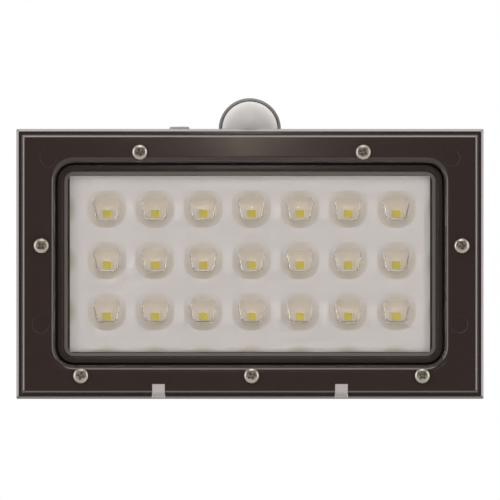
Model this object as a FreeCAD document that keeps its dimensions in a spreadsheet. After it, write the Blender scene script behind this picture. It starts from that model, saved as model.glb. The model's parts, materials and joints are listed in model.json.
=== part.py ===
import FreeCAD, Part
import math
import os
import Sketcher

# Motion sensor security light on a tilting wall bracket.
# The lamp face looks along -Y, +Z is up, and the wall is the plane Y = 0.
# The origin is the middle of the four wall screws.
# "Forward" is the distance from the wall towards the viewer, so forward = -Y.

SIZES = {
    # lamp head, outside
    "head_width": 180.0,
    "head_height": 104.0,
    "head_rise": 18.0,
    "flange_reach": 1.95,
    "flange_thickness": 3.0,
    "flange_corner": 0.6,
    "flange_edge": 0.5,
    "flange_lean": 0.95,
    "plateau_rise": 2.5,
    "plateau_lean": 1.25,
    "housing_wall": 2.2,
    "housing_corner": 1.2,
    "back_round": 2.0,
    # seal, skirt and panels of the bezel
    "rim_seal_thickness": 0.6,
    "skirt_gap": 0.3,
    "skirt_thickness": 2.0,
    "skirt_length": 2.5,
    "bezel_thickness": 2.4,
    "border_side": 15.2,
    "border_end": 13.15,
    "opening_corner": 7.0,
    "lip_thickness": 1.2,
    "lip_round": 2.5,
    "gasket_gap": 0.1,
    "mark_diameter": 6.7,
    "mark_depth": 0.3,
    "mark_slope": 45.0,
    "seat_depth": 0.15,
    "upper_mark_side_inset": 12.5,
    "upper_mark_end_inset": 11.3,
    "lower_mark_side_inset": 9.5,
    "lower_mark_drop": 23.3,
    # screws that hold the bezel
    "bezel_screw_head": 5.9,
    "bezel_screw_head_height": 1.7,
    "bezel_screw_shank": 2.9,
    "bezel_screw_length": 14.0,
    "screw_hole_gap": 0.1,
    "boss_radius": 2.8,
    "boss_gap": 0.15,
    "top_screw_x": 43.0,
    "bottom_screw_inset": 24.3,
    "side_screw_inset": 7.15,
    "side_screw_rise": 7.0,
    "screw_shift": 0.6,
    "recess_width": 0.7,
    "recess_reach": 3.4,
    "recess_depth": 1.1,
    # clips on the bottom edge
    "clip_x": 35.2,
    "clip_width": 4.8,
    "clip_gap": 0.1,
    "clip_depth": 0.8,
    "clip_proud": 0.1,
    "clip_height": 5.8,
    "clip_leg": 1.2,
    "clip_leg_length": 13.0,
    "clip_hook": 0.7,
    "clip_hook_height": 2.0,
    # light engine
    "panel_recess": 5.0,
    "frame_gap": 0.9,
    "frame_width": 2.4,
    "frame_ledge": 1.4,
    "frame_drop": 3.3,
    "frame_lean": 0.6,
    "frame_lean_depth": 1.2,
    "seal_width": 1.3,
    "seal_proud": 0.1,
    "lens_edge_thickness": 1.6,
    "lens_edge_gap": 0.2,
    "lens_base": 2.8,
    "panel_side_gap": 0.8,
    "panel_end_gap": 0.3,
    "panel_corner": 2.0,
    "board_edge_gap": 0.5,
    "led_board_thickness": 1.6,
    "thermal_pad_thickness": 0.3,
    "heat_sink_thickness": 2.0,
    "fin_height": 7.0,
    "fin_thickness": 1.4,
    "fin_first_gap": 2.0,
    "fin_side_margin": 6.5,
    "fin_end_margin": 13.05,
    "fin_count": 8,
    "heat_post_side_inset": 16.0,
    "heat_post_end_inset": 3.0,
    "heat_post_radius": 2.4,
    "small_screw": 2.0,
    "small_screw_head": 4.0,
    "small_screw_head_height": 1.3,
    "small_screw_length": 8.0,
    # optics
    "optic_columns": 7,
    "optic_rows": 3,
    "array_shift": 0.6,
    "array_drop": 0.4,
    "optic_side_margin": 6.1,
    "optic_top_margin": 5.15,
    "optic_half_width": 7.5,
    "optic_up": 9.0,
    "optic_down": 5.5,
    "optic_top_round": 4.4,
    "optic_low_round": 6.4,
    "optic_height": 4.5,
    "optic_shoulder": 3.1,
    "optic_shoulder_inset": 1.2,
    "optic_crown_inset": 3.4,
    "cavity_top_half": 5.4,
    "cavity_low_half": 2.9,
    "cavity_up": 6.2,
    "cavity_down": 2.3,
    "cavity_top_round": 2.2,
    "cavity_low_round": 1.6,
    "cavity_roof": 1.9,
    "cavity_inset": 1.1,
    "chip_size": 3.5,
    "chip_height": 0.7,
    # battery and control board
    "cell_diameter": 18.2,
    "cell_length": 65.0,
    "cell_pitch": 18.6,
    "cell_count": 3,
    "cell_room": 0.7,
    "tray_floor": 1.2,
    "tray_wall": 1.2,
    "tray_lip": 6.0,
    "cell_end_gap": 0.2,
    "tray_side_gap": 13.95,
    "control_board_gap": 12.1,
    "control_board_side_gap": 13.85,
    "control_board_height": 54.0,
    "control_board_thickness": 1.6,
    "control_post_height": 3.0,
    "control_post_radius": 2.8,
    "control_post_inset": 4.0,
    "coil_radius": 5.5,
    "coil_height": 5.5,
    "capacitor_radius": 3.2,
    "capacitor_height": 5.0,
    "connector_width": 8.0,
    "connector_depth": 6.0,
    "connector_height": 5.0,
    # solar panel on the back
    "solar_border_side": 14.05,
    "solar_border_end": 13.05,
    "solar_rise": 2.0,
    "solar_sink": 0.5,
    "solar_edge_gap": 0.8,
    "solar_glass_thickness": 2.0,
    "solar_cell_thickness": 0.4,
    "solar_backing_thickness": 1.6,
    "solar_cell_columns": 6,
    "solar_cell_gap": 1.2,
    "solar_cell_margin": 4.0,
    # sensor
    "sensor_inset": 17.5,
    "dome_radius": 10.8,
    "dome_wall": 0.9,
    "hood_gap": 0.3,
    "hood_radius": 12.05,
    "collar_radius": 14.0,
    "dome_flange_radius": 13.0,
    "dome_flange_thickness": 1.2,
    "dome_gasket_thickness": 0.6,
    "sensor_board_drop": 5.6,
    "sensor_board_left": 36.0,
    "sensor_board_right": 21.0,
    "sensor_board_depth": 18.0,
    "sensor_board_thickness": 1.6,
    "sensor_post_radius": 2.4,
    "sensor_post_side": 17.4,
    "sensor_post_spread": 6.2,
    "sensor_can_radius": 4.6,
    "sensor_can_height": 4.2,
    "sensor_spacer_height": 3.6,
    # mode button
    "button_x": 27.2,
    "button_width": 7.7,
    "button_depth": 12.0,
    "button_proud": 1.05,
    "button_gap": 0.2,
    "button_corner": 1.6,
    "button_rim": 1.2,
    "button_rim_thickness": 0.9,
    "button_travel": 0.8,
    "switch_body": 6.0,
    "switch_height": 2.8,
    "switch_plunger_radius": 1.7,
    "switch_plunger_gap": 0.3,
    # wall plate and hinge
    "plate_thickness": 3.0,
    "plate_height": 64.0,
    "plate_corner": 5.0,
    "plate_rib": 0.8,
    "plate_rib_width": 1.6,
    "plate_rib_pitch": 30.0,
    "head_gap": 2.5,
    "ear_side_inset": 9.65,
    "ear_width": 13.3,
    "foot_proud": 0.6,
    "pin_rise": 5.4,
    "pin_inset": 8.5,
    "ear_side_gap": 0.25,
    "ear_clearance": 0.4,
    "hinge_pin_radius": 2.0,
    "pin_running_gap": 0.05,
    "bush_radius": 3.25,
    "bush_proud": 0.1,
    "hinge_head_radius": 3.75,
    "hinge_head_height": 1.5,
    "insert_radius": 2.6,
    "insert_length": 6.0,
    "wall_screw_x": 60.0,
    "wall_screw_z": 20.0,
    "wall_screw_hole": 4.5,
    "wall_screw_pad": 12.0,
}


class Size:
    """A number that carries its own formula, so that a shape can be bound to it."""

    def __init__(self, value, formula):
        self.value = float(value)
        self.formula = formula

    def __add__(self, other):
        other = as_size(other)
        return Size(self.value + other.value, "(%s + %s)" % (self.formula, other.formula))

    def __sub__(self, other):
        other = as_size(other)
        return Size(self.value - other.value, "(%s - %s)" % (self.formula, other.formula))

    def __mul__(self, other):
        other = as_size(other)
        return Size(self.value * other.value, "(%s * %s)" % (self.formula, other.formula))

    def __truediv__(self, other):
        other = as_size(other)
        return Size(self.value / other.value, "(%s / %s)" % (self.formula, other.formula))

    def __neg__(self):
        return Size(-self.value, "(-%s)" % self.formula)


def as_size(number):
    if isinstance(number, Size):
        return number
    return Size(number, repr(float(number)))


class SizeTable:
    """Gives each driving size by its name on the sheet."""

    def __getattr__(self, name):
        return Size(SIZES[name], "Sizes." + name)


S = SizeTable()
NONE = as_size(0.0)
doc = FreeCAD.newDocument("security_light")


def make_sheet():
    sheet = doc.addObject("Spreadsheet::Sheet", "Sizes")
    for row, (name, value) in enumerate(SIZES.items(), 1):
        sheet.set("A%d" % row, name.replace("_", " "))
        sheet.set("B%d" % row, str(value))
        sheet.setAlias("B%d" % row, name)
    doc.recompute()


make_sheet()
LEVELS = doc.addObject("App::VarSet", "Levels")


def level(name, size):
    """Keeps a worked-out distance under a name of its own."""
    LEVELS.addProperty("App::PropertyFloat", name, "Levels", "")
    LEVELS.setExpression(name, size.formula)
    return Size(size.value, "Levels." + name)


# Forward distances, from the wall to the face of the lamp
PLATE_FRONT = level("plate_front", S.plate_thickness)
HEAD_BACK = level("head_back", PLATE_FRONT + S.head_gap)
GLASS_BACK = level("glass_back", HEAD_BACK + S.solar_sink)
CELLS_BACK = level("cells_back", GLASS_BACK + S.solar_glass_thickness)
BACKING_BACK = level("backing_back", CELLS_BACK + S.solar_cell_thickness)
BACKING_FRONT = level("backing_front", BACKING_BACK + S.solar_backing_thickness)
FLOOR = level("floor", BACKING_FRONT + S.housing_wall)
OUTER_FLOOR = level("outer_floor", HEAD_BACK + S.housing_wall)
TRAY_TOP = level("tray_top", FLOOR + S.tray_floor)
HEAT_BACK = level("heat_back", TRAY_TOP + S.cell_diameter + S.cell_room)
HEAT_FRONT = level("heat_front", HEAT_BACK + S.heat_sink_thickness)
BOARD_BACK = level("board_back", HEAT_FRONT + S.thermal_pad_thickness)
LENS_BACK = level("lens_back", BOARD_BACK + S.led_board_thickness)
LENS_EDGE = level("lens_edge", LENS_BACK + S.lens_edge_thickness)
PANEL = level("panel", LENS_BACK + S.lens_base)
PLATEAU = level("plateau", PANEL + S.panel_recess)
FLANGE_FRONT = level("flange_front", PLATEAU - S.plateau_rise)
FLANGE_BACK = level("flange_back", FLANGE_FRONT - S.flange_thickness)
RIM = level("rim", FLANGE_BACK - S.rim_seal_thickness)
BOSS_TOP = level("boss_top", FLANGE_BACK - S.skirt_length)
BEZEL_INSIDE = level("bezel_inside", PLATEAU - S.bezel_thickness)
SENSOR_AT = level("sensor_at", HEAD_BACK + S.sensor_inset)
PIN_AT = level("pin_at", HEAD_BACK + S.pin_inset)

# Heights
CENTRE = level("centre", S.head_rise)
HEAD_TOP = level("head_top", CENTRE + S.head_height / 2)
HEAD_BOTTOM = level("head_bottom", CENTRE - S.head_height / 2)
BODY_TOP = level("body_top", HEAD_TOP - S.flange_reach)
BODY_BOTTOM = level("body_bottom", HEAD_BOTTOM + S.flange_reach)
WALL_UNDER = level("wall_under", BODY_TOP - S.housing_wall)
PIN_Z = level("pin_z", HEAD_BOTTOM + S.pin_rise)
BOARD_TOP = level("board_top", WALL_UNDER - S.sensor_board_drop)
SOLAR_Z = level("solar_z", CENTRE + S.solar_rise)

# Half widths and half heights of the nested outlines
BODY_X = level("body_x", S.head_width / 2 - S.flange_reach)
BODY_Z = level("body_z", S.head_height / 2 - S.flange_reach)
OPEN_X = level("open_x", S.head_width / 2 - S.border_side)
OPEN_Z = level("open_z", S.head_height / 2 - S.border_end)
FRAME_X = level("frame_x", OPEN_X - S.frame_gap)
FRAME_Z = level("frame_z", OPEN_Z - S.frame_gap)
BORE_X = level("bore_x", FRAME_X - S.frame_width)
BORE_Z = level("bore_z", FRAME_Z - S.frame_width)
SEAL_X = level("seal_x", BORE_X - S.seal_width)
SEAL_Z = level("seal_z", BORE_Z - S.seal_width)
EAR_RADIUS = level("ear_radius", S.pin_rise + S.foot_proud)
EAR_X = level("ear_x", BODY_X - S.ear_side_inset)
EAR_IN = level("ear_in", EAR_X - S.ear_width / 2)
EAR_OUT = level("ear_out", EAR_X + S.ear_width / 2)
SLOT_IN = level("slot_in", EAR_IN - S.ear_side_gap)
SLOT_OUT = level("slot_out", EAR_OUT + S.ear_side_gap)
BOSS_OFF = level("boss_off", OPEN_Z + S.lip_thickness + S.boss_gap + S.boss_radius)
SIDE_SCREW_X = level("side_screw_x", BODY_X - S.side_screw_inset)
BOTTOM_SCREW_X = level("bottom_screw_x", S.head_width / 2 - S.bottom_screw_inset)
HOLE = level("hole_radius", (S.bezel_screw_shank + S.screw_hole_gap) / 2)
PANEL_X = level("panel_x", SEAL_X - S.panel_side_gap)
PANEL_Z = level("panel_z", SEAL_Z - S.panel_end_gap)
HEAT_X = level("heat_x", OPEN_X + S.lip_thickness)
HEAT_Z = level("heat_z", OPEN_Z + S.lip_thickness)
SOLAR_HALF_X = level("solar_half_x", BODY_X - S.solar_border_side)
SOLAR_HALF_Z = level("solar_half_z", BODY_Z - S.solar_border_end)

# Spacing of the optics, so that the outer ones keep their margins on the panel
PITCH_X = level("pitch_x", (PANEL_X - S.optic_side_margin - S.optic_half_width) * 2
                / (S.optic_columns - 1))
PITCH_Z = level("pitch_z", (PANEL_Z - S.optic_top_margin - S.optic_up) * 2
                / (S.optic_rows - 1))

# The battery tray on the left and the control board on the right
TRAY_X = level("tray_x", S.cell_length / 2 + S.cell_end_gap + S.tray_wall)
TRAY_Z = level("tray_z", S.cell_pitch * (S.cell_count - 1) / 2 + S.cell_diameter / 2
               + S.cell_end_gap + S.tray_wall)
BATTERY_X = level("battery_x", TRAY_X + S.tray_side_gap + S.housing_wall - BODY_X)
CONTROL_LEFT = level("control_left", BATTERY_X + TRAY_X + S.control_board_gap)
CONTROL_RIGHT = level("control_right", BODY_X - S.housing_wall - S.control_board_side_gap)
CONTROL_X = level("control_x", (CONTROL_LEFT + CONTROL_RIGHT) / 2)
CONTROL_HALF = level("control_half", (CONTROL_RIGHT - CONTROL_LEFT) / 2)
FIN_START = level("fin_start", CONTROL_LEFT + S.fin_first_gap)
FIN_PITCH = level("fin_pitch", (HEAT_X - S.fin_side_margin - FIN_START) / (S.fin_count - 1))


# ---------------------------------------------------------------- sketches

def vector(x, y, z=0.0):
    return FreeCAD.Vector(x, y, z)


def new_body(label):
    body = doc.addObject("PartDesign::Body", label)
    body.Label = label
    return body


def sketch_on(body, name, role, offset):
    """A sketch on one of the body's own origin planes, moved out by offset."""
    sketch = body.newObject("Sketcher::SketchObject", name)
    plane = [item for item in body.Origin.OriginFeatures if item.Role == role][0]
    sketch.AttachmentSupport = [(plane, "")]
    sketch.MapMode = "FlatFace"
    sketch.setExpression("AttachmentOffset.Base.z", offset.formula)
    return sketch


def front_sketch(body, name, forward):
    return sketch_on(body, name, "XZ_Plane", forward)


def side_sketch(body, name, x):
    """Seen from +X: sketch x is -forward, sketch y is height."""
    return sketch_on(body, name, "YZ_Plane", x)


def top_sketch(body, name, z):
    """Seen from above: sketch x is X, sketch y is -forward."""
    return sketch_on(body, name, "XY_Plane", z)


def hold(sketch, kind, geometry, point, size):
    index = sketch.addConstraint(Sketcher.Constraint(kind, -1, 1, geometry, point, size.value))
    sketch.setExpression("Constraints[%d]" % index, size.formula)


def hold_point(sketch, geometry, point, x, y):
    hold(sketch, "DistanceX", geometry, point, x)
    hold(sketch, "DistanceY", geometry, point, y)


def hold_radius(sketch, geometry, radius):
    index = sketch.addConstraint(Sketcher.Constraint("Radius", geometry, radius.value))
    sketch.setExpression("Constraints[%d]" % index, radius.formula)


def circle(sketch, x, y, radius):
    shape = Part.Circle(vector(x.value, y.value), vector(0, 0, 1), radius.value)
    geometry = sketch.addGeometry(shape)
    hold_point(sketch, geometry, 3, x, y)
    hold_radius(sketch, geometry, radius)


def polygon(sketch, points):
    """A closed outline of straight lines; points are pairs of sizes."""
    first = sketch.GeometryCount
    count = len(points)
    for number, (x, y) in enumerate(points):
        next_x, next_y = points[(number + 1) % count]
        line = Part.LineSegment(vector(x.value, y.value), vector(next_x.value, next_y.value))
        sketch.addGeometry(line)
    for number, (x, y) in enumerate(points):
        following = first + (number + 1) % count
        sketch.addConstraint(Sketcher.Constraint("Coincident", first + number, 2, following, 1))
        hold_point(sketch, first + number, 1, x, y)


def rectangle(sketch, x, y, half_width, half_height):
    polygon(sketch, [
        (x - half_width, y - half_height),
        (x + half_width, y - half_height),
        (x + half_width, y + half_height),
        (x - half_width, y + half_height),
    ])


def outward(start, end):
    """Angle of the outer normal of the belt line from one disc to the next."""
    run_x = end[0].value - start[0].value
    run_y = end[1].value - start[1].value
    length = math.hypot(run_x, run_y)
    lean = math.acos((start[2].value - end[2].value) / length)
    return math.atan2(run_y, run_x) - lean


def on_disc(disc, angle):
    x, y, radius = (part.value for part in disc)
    return vector(x + radius * math.cos(angle), y + radius * math.sin(angle))


def belt(sketch, discs):
    """The tight outline round discs (x, y, radius), given anticlockwise."""
    first = sketch.GeometryCount
    count = len(discs)
    angles = [outward(discs[i], discs[(i + 1) % count]) for i in range(count)]
    for i in range(count):
        following = discs[(i + 1) % count]
        line = Part.LineSegment(on_disc(discs[i], angles[i]), on_disc(following, angles[i]))
        sketch.addGeometry(line)
    for i in range(count):
        x, y, radius = discs[i]
        start = angles[i - 1]
        end = angles[i]
        while end < start:
            end = end + 2 * math.pi
        ring = Part.Circle(vector(x.value, y.value), vector(0, 0, 1), radius.value)
        sketch.addGeometry(Part.ArcOfCircle(ring, start, end))
    for i in range(count):
        arc = first + count + i
        line = first + i
        before = first + (i - 1) % count
        sketch.addConstraint(Sketcher.Constraint("Tangent", before, 2, arc, 1))
        sketch.addConstraint(Sketcher.Constraint("Tangent", arc, 2, line, 1))
        hold_point(sketch, arc, 3, discs[i][0], discs[i][1])
        hold_radius(sketch, arc, discs[i][2])


def corner_discs(x, y, half_width, half_height, radius):
    across = half_width - radius
    up = half_height - radius
    return [
        (x - across, y - up, radius),
        (x + across, y - up, radius),
        (x + across, y + up, radius),
        (x - across, y + up, radius),
    ]


def rounded(sketch, x, y, half_width, half_height, radius):
    belt(sketch, corner_discs(x, y, half_width, half_height, radius))


# ---------------------------------------------------------------- features

def pad(body, name, sketch, length, backward=False):
    feature = body.newObject("PartDesign::Pad", name)
    feature.Profile = sketch
    feature.Reversed = backward
    feature.setExpression("Length", length.formula)
    return feature


def pocket(body, name, sketch, depth, forward=False):
    """Cuts against the sketch's normal, or along it when forward is set."""
    feature = body.newObject("PartDesign::Pocket", name)
    feature.Profile = sketch
    feature.Reversed = forward
    feature.setExpression("Length", depth.formula)
    return feature


def loft(body, name, sketches, cutting=False):
    kind = "PartDesign::SubtractiveLoft" if cutting else "PartDesign::AdditiveLoft"
    feature = body.newObject(kind, name)
    feature.Profile = sketches[0]
    feature.Sections = sketches[1:]
    feature.Ruled = True
    return feature


def turn(body, name, sketch, angle, backward=False):
    feature = body.newObject("PartDesign::Revolution", name)
    feature.Profile = sketch
    feature.ReferenceAxis = (sketch, ["V_Axis"])
    feature.Angle = angle
    feature.Reversed = backward
    return feature


def edges_where(feature, test):
    """Names of the feature's edges whose middle point passes the test."""
    names = []
    for number, edge in enumerate(feature.Shape.Edges, 1):
        middle = edge.valueAt((edge.FirstParameter + edge.LastParameter) / 2)
        if test(middle, edge):
            names.append("Edge%d" % number)
    return names


def fillet(body, name, base, edges, radius):
    feature = body.newObject("PartDesign::Fillet", name)
    feature.Base = (base, edges)
    feature.setExpression("Radius", radius.formula)
    return feature


# Part primitives, placed by their sizes

AXES = {
    "up": FreeCAD.Rotation(),
    "forward": FreeCAD.Rotation(vector(1, 0, 0), 90),
    "right": FreeCAD.Rotation(vector(0, 1, 0), 90),
    "left": FreeCAD.Rotation(vector(0, 1, 0), -90),
}


def place(item, x, forward, z, axis):
    item.Placement = FreeCAD.Placement(vector(0, 0, 0), AXES[axis])
    item.setExpression("Placement.Base.x", x.formula)
    item.setExpression("Placement.Base.y", (-forward).formula)
    item.setExpression("Placement.Base.z", z.formula)
    return item


def cylinder(name, radius, height, x, forward, z, axis):
    item = doc.addObject("Part::Cylinder", name)
    item.setExpression("Radius", radius.formula)
    item.setExpression("Height", height.formula)
    return place(item, x, forward, z, axis)


def cone(name, radius, end_radius, height, x, forward, z, axis):
    item = doc.addObject("Part::Cone", name)
    item.setExpression("Radius1", radius.formula)
    item.setExpression("Radius2", end_radius.formula)
    item.setExpression("Height", height.formula)
    return place(item, x, forward, z, axis)


def block(name, x, back, z, half_width, depth, half_height):
    """A block centred on x and z, from back towards the viewer by depth."""
    item = doc.addObject("Part::Box", name)
    item.setExpression("Length", (half_width * 2).formula)
    item.setExpression("Width", depth.formula)
    item.setExpression("Height", (half_height * 2).formula)
    return place(item, x - half_width, back + depth, z - half_height, "up")


def fused(name, items):
    item = doc.addObject("Part::MultiFuse", name)
    item.Shapes = items
    return item


def cut(name, base, tool):
    item = doc.addObject("Part::Cut", name)
    item.Base = base
    item.Tool = tool
    return item


def group(label, items):
    """Separate solids that share one sub-part."""
    item = doc.addObject("Part::Compound", label)
    item.Links = items
    item.Label = label
    return item


def tube(name, outer, inner, height, x, forward, z, axis):
    shell = cylinder(name + "_outside", outer, height, x, forward, z, axis)
    core = cylinder(name + "_bore", inner, height, x, forward, z, axis)
    return cut(name, shell, core)


def mirrored_x(size):
    return (-size, size)


def spread(index, count, pitch):
    """Offset of one of count places, spaced evenly about the middle."""
    return pitch * (index - (count - 1) / 2)


def counted(name):
    return int(SIZES[name])


# ---------------------------------------------------------------- wall plate

def wall_plate():
    body = new_body("wall_plate")
    base = front_sketch(body, "plate_outline", NONE)
    rounded(base, NONE, NONE, EAR_OUT, S.plate_height / 2, S.plate_corner)
    pad(body, "plate", base, PLATE_FRONT - S.plate_rib)
    plate_ribs(body)
    for side, start in (("right", EAR_IN), ("left", -EAR_OUT)):
        ear = side_sketch(body, side + "_ear_outline", start)
        root = S.plate_rib
        reach = EAR_RADIUS - root
        belt(ear, [
            (-PIN_AT, PIN_Z, EAR_RADIUS),
            (-root, PIN_Z - reach, root),
            (-root, PIN_Z + reach, root),
        ])
        pad(body, side + "_ear", ear, S.ear_width)
        bore = side_sketch(body, side + "_ear_bore", start)
        circle(bore, -PIN_AT, PIN_Z, S.bush_radius)
        pocket(body, side + "_ear_drill", bore, S.ear_width, forward=True)
    doc.recompute()
    holes = front_sketch(body, "wall_screw_places", PLATE_FRONT)
    for x in mirrored_x(S.wall_screw_x):
        for z in mirrored_x(S.wall_screw_z):
            circle(holes, x, z, S.wall_screw_hole / 2)
    doc.recompute()
    drill = body.newObject("PartDesign::Hole", "wall_screw_holes")
    drill.Profile = holes
    drill.ThreadType = "None"
    drill.DepthType = "ThroughAll"
    drill.setExpression("Diameter", S.wall_screw_hole.formula)
    return body


def plate_ribs(body):
    """A raised rim, cross ribs and four screw pads on the front of the plate."""
    back = PLATE_FRONT - S.plate_rib
    inner_x = EAR_OUT - S.plate_rib_width
    inner_z = S.plate_height / 2 - S.plate_rib_width
    rim = front_sketch(body, "plate_rim_outline", back)
    rounded(rim, NONE, NONE, EAR_OUT, S.plate_height / 2, S.plate_corner)
    rounded(rim, NONE, NONE, inner_x, inner_z, S.plate_corner - S.plate_rib_width)
    pad(body, "plate_rim", rim, S.plate_rib)
    ribs = front_sketch(body, "plate_rib_outlines", back)
    for number in range(3):
        x = spread(number, 3, S.plate_rib_pitch)
        rectangle(ribs, x, NONE, S.plate_rib_width / 2, inner_z + S.plate_rib_width / 2)
    pad(body, "plate_ribs", ribs, S.plate_rib)
    pads = front_sketch(body, "screw_pad_outlines", back)
    for x in mirrored_x(S.wall_screw_x):
        for z in mirrored_x(S.wall_screw_z):
            circle(pads, x, z, S.wall_screw_pad / 2)
    pad(body, "screw_pads", pads, S.plate_rib)


def hinge_bushes():
    inner = S.hinge_pin_radius + S.pin_running_gap
    length = S.ear_width + S.bush_proud * 2
    items = []
    for side, start in (("right", EAR_IN), ("left", -EAR_OUT)):
        items.append(tube(side + "_bush", S.bush_radius, inner, length,
                          start - S.bush_proud, PIN_AT, PIN_Z, "right"))
    return group("hinge_bushes", items)


def hinge_screws():
    length = BODY_X - SLOT_IN + S.insert_length
    items = []
    for side, sign, axis in (("right", 1, "left"), ("left", -1, "right")):
        face = BODY_X * sign
        shank = cylinder(side + "_hinge_shank", S.hinge_pin_radius, length,
                         face, PIN_AT, PIN_Z, axis)
        outward_axis = "right" if sign > 0 else "left"
        head = cylinder(side + "_hinge_head", S.hinge_head_radius, S.hinge_head_height,
                        face, PIN_AT, PIN_Z, outward_axis)
        socket = hexagon(side + "_hinge_socket", S.hinge_pin_radius, S.hinge_head_height / 2,
                              face + S.hinge_head_height / 2 * sign, outward_axis)
        solid = fused(side + "_hinge_blank", [shank, head])
        items.append(cut(side + "_hinge_screw", solid, socket))
    return group("hinge_screws", items)


def hexagon(name, radius, height, x, axis):
    """A six-sided prism along X on the hinge line."""
    item = doc.addObject("Part::Prism", name)
    item.Polygon = 6
    item.setExpression("Circumradius", radius.formula)
    item.setExpression("Height", height.formula)
    return place(item, x, PIN_AT, PIN_Z, axis)


def hinge_inserts():
    """Threaded sleeves in the inner wall of each hinge slot."""
    items = []
    bore = S.hinge_pin_radius + S.pin_running_gap
    for side, sign, axis in (("right", 1, "left"), ("left", -1, "right")):
        items.append(tube(side + "_insert", S.insert_radius, bore, S.insert_length,
                          SLOT_IN * sign, PIN_AT, PIN_Z, axis))
    return group("hinge_inserts", items)


# ---------------------------------------------------------------- housing

def bezel_screw_places():
    """The seven screws: two on top, one each side, three below."""
    top = CENTRE + BOSS_OFF
    low = CENTRE - BOSS_OFF
    side = CENTRE + S.side_screw_rise
    shift = S.screw_shift
    return [
        (shift - S.top_screw_x, top),
        (shift + S.top_screw_x, top),
        (shift - SIDE_SCREW_X, side),
        (shift + SIDE_SCREW_X, side),
        (shift - BOTTOM_SCREW_X, low),
        (shift, low),
        (shift + BOTTOM_SCREW_X, low),
    ]


def heat_post_places():
    return [(x, CENTRE + z) for x in mirrored_x(HEAT_X - S.heat_post_side_inset)
            for z in mirrored_x(HEAT_Z - S.heat_post_end_inset)]


def control_post_places():
    across = CONTROL_HALF - S.control_post_inset
    up = S.control_board_height / 2 - S.control_post_inset
    return [(CONTROL_X + x, CENTRE + z) for x in mirrored_x(across)
            for z in mirrored_x(up)]


def sensor_post_places():
    """Places in plan: X and -forward."""
    side = S.sensor_post_side
    return [
        (-side, S.sensor_post_spread - SENSOR_AT),
        (-side, -SENSOR_AT - S.sensor_post_spread),
        (side, -SENSOR_AT),
    ]


def circles(sketch, places, radius):
    for x, y in places:
        circle(sketch, x, y, radius)


def rear_housing():
    body = new_body("rear_housing")
    outline = front_sketch(body, "housing_outline", HEAD_BACK)
    rounded(outline, NONE, CENTRE, BODY_X, BODY_Z, S.housing_corner)
    shell = pad(body, "housing_block", outline, RIM - HEAD_BACK)
    doc.recompute()
    back_edges = edges_where(shell, lambda p, e: abs(p.y + HEAD_BACK.value) < 1e-4)
    fillet(body, "back_edge_round", shell, back_edges, S.back_round)
    housing_inside(body)
    solar_recess(body)
    housing_posts(body)
    hinge_slots(body)
    top_wall_cuts(body)
    clip_catches(body)
    return body


def housing_inside(body):
    inside = front_sketch(body, "inside_outline", RIM)
    inner_x = BODY_X - S.housing_wall
    inner_z = BODY_Z - S.housing_wall
    rectangle(inside, NONE, CENTRE, inner_x, inner_z)
    pocket(body, "inside", inside, RIM - OUTER_FLOOR)


def solar_recess(body):
    """A raised floor inside, with the shallow recess for the panel behind it."""
    half_x = SOLAR_HALF_X + S.solar_edge_gap
    half_z = SOLAR_HALF_Z + S.solar_edge_gap
    floor = front_sketch(body, "floor_outline", OUTER_FLOOR)
    rectangle(floor, NONE, SOLAR_Z, half_x + S.housing_wall, half_z + S.housing_wall)
    pad(body, "raised_floor", floor, FLOOR - OUTER_FLOOR)
    recess = front_sketch(body, "recess_outline", HEAD_BACK)
    rectangle(recess, NONE, SOLAR_Z, half_x, half_z)
    pocket(body, "recess", recess, BACKING_FRONT - HEAD_BACK, forward=True)


def hinge_slots(body):
    """Boxed corners, open to the back and the bottom, that the ears run in."""
    top = PIN_Z + EAR_RADIUS + S.ear_clearance
    reach = EAR_RADIUS + S.ear_clearance
    ceiling = top + S.housing_wall
    inner = SLOT_IN - S.insert_length
    outer = BODY_X - S.housing_wall / 2
    low = BODY_BOTTOM + S.housing_wall / 2
    blocks = front_sketch(body, "slot_block_outlines", OUTER_FLOOR)
    for sign in (1, -1):
        rectangle(blocks, (outer + inner) / 2 * sign, (ceiling + low) / 2,
                  (outer - inner) / 2, (ceiling - low) / 2)
    pad(body, "slot_blocks", blocks, PIN_AT + reach + S.housing_wall - OUTER_FLOOR)
    small = S.back_round / 4
    behind = -HEAD_BACK + S.head_gap / 2
    below = HEAD_BOTTOM - S.housing_wall
    for side, start in (("right", SLOT_IN), ("left", -SLOT_OUT)):
        slot = side_sketch(body, side + "_slot_outline", start)
        belt(slot, [
            (-PIN_AT - reach + small, below, small),
            (behind, below, small),
            (behind, top - small, small),
            (-PIN_AT, PIN_Z, reach),
        ])
        pocket(body, side + "_slot", slot, SLOT_OUT - SLOT_IN, forward=True)
    bores = side_sketch(body, "hinge_bore_outline", -BODY_X)
    circle(bores, -PIN_AT, PIN_Z, S.hinge_pin_radius + S.pin_running_gap)
    pocket(body, "hinge_bores", bores, BODY_X * 2, forward=True)
    for side, start in (("right", SLOT_IN - S.insert_length), ("left", -SLOT_IN)):
        seat = side_sketch(body, side + "_insert_outline", start)
        circle(seat, -PIN_AT, PIN_Z, S.insert_radius)
        pocket(body, side + "_insert_seat", seat, S.insert_length, forward=True)


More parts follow.
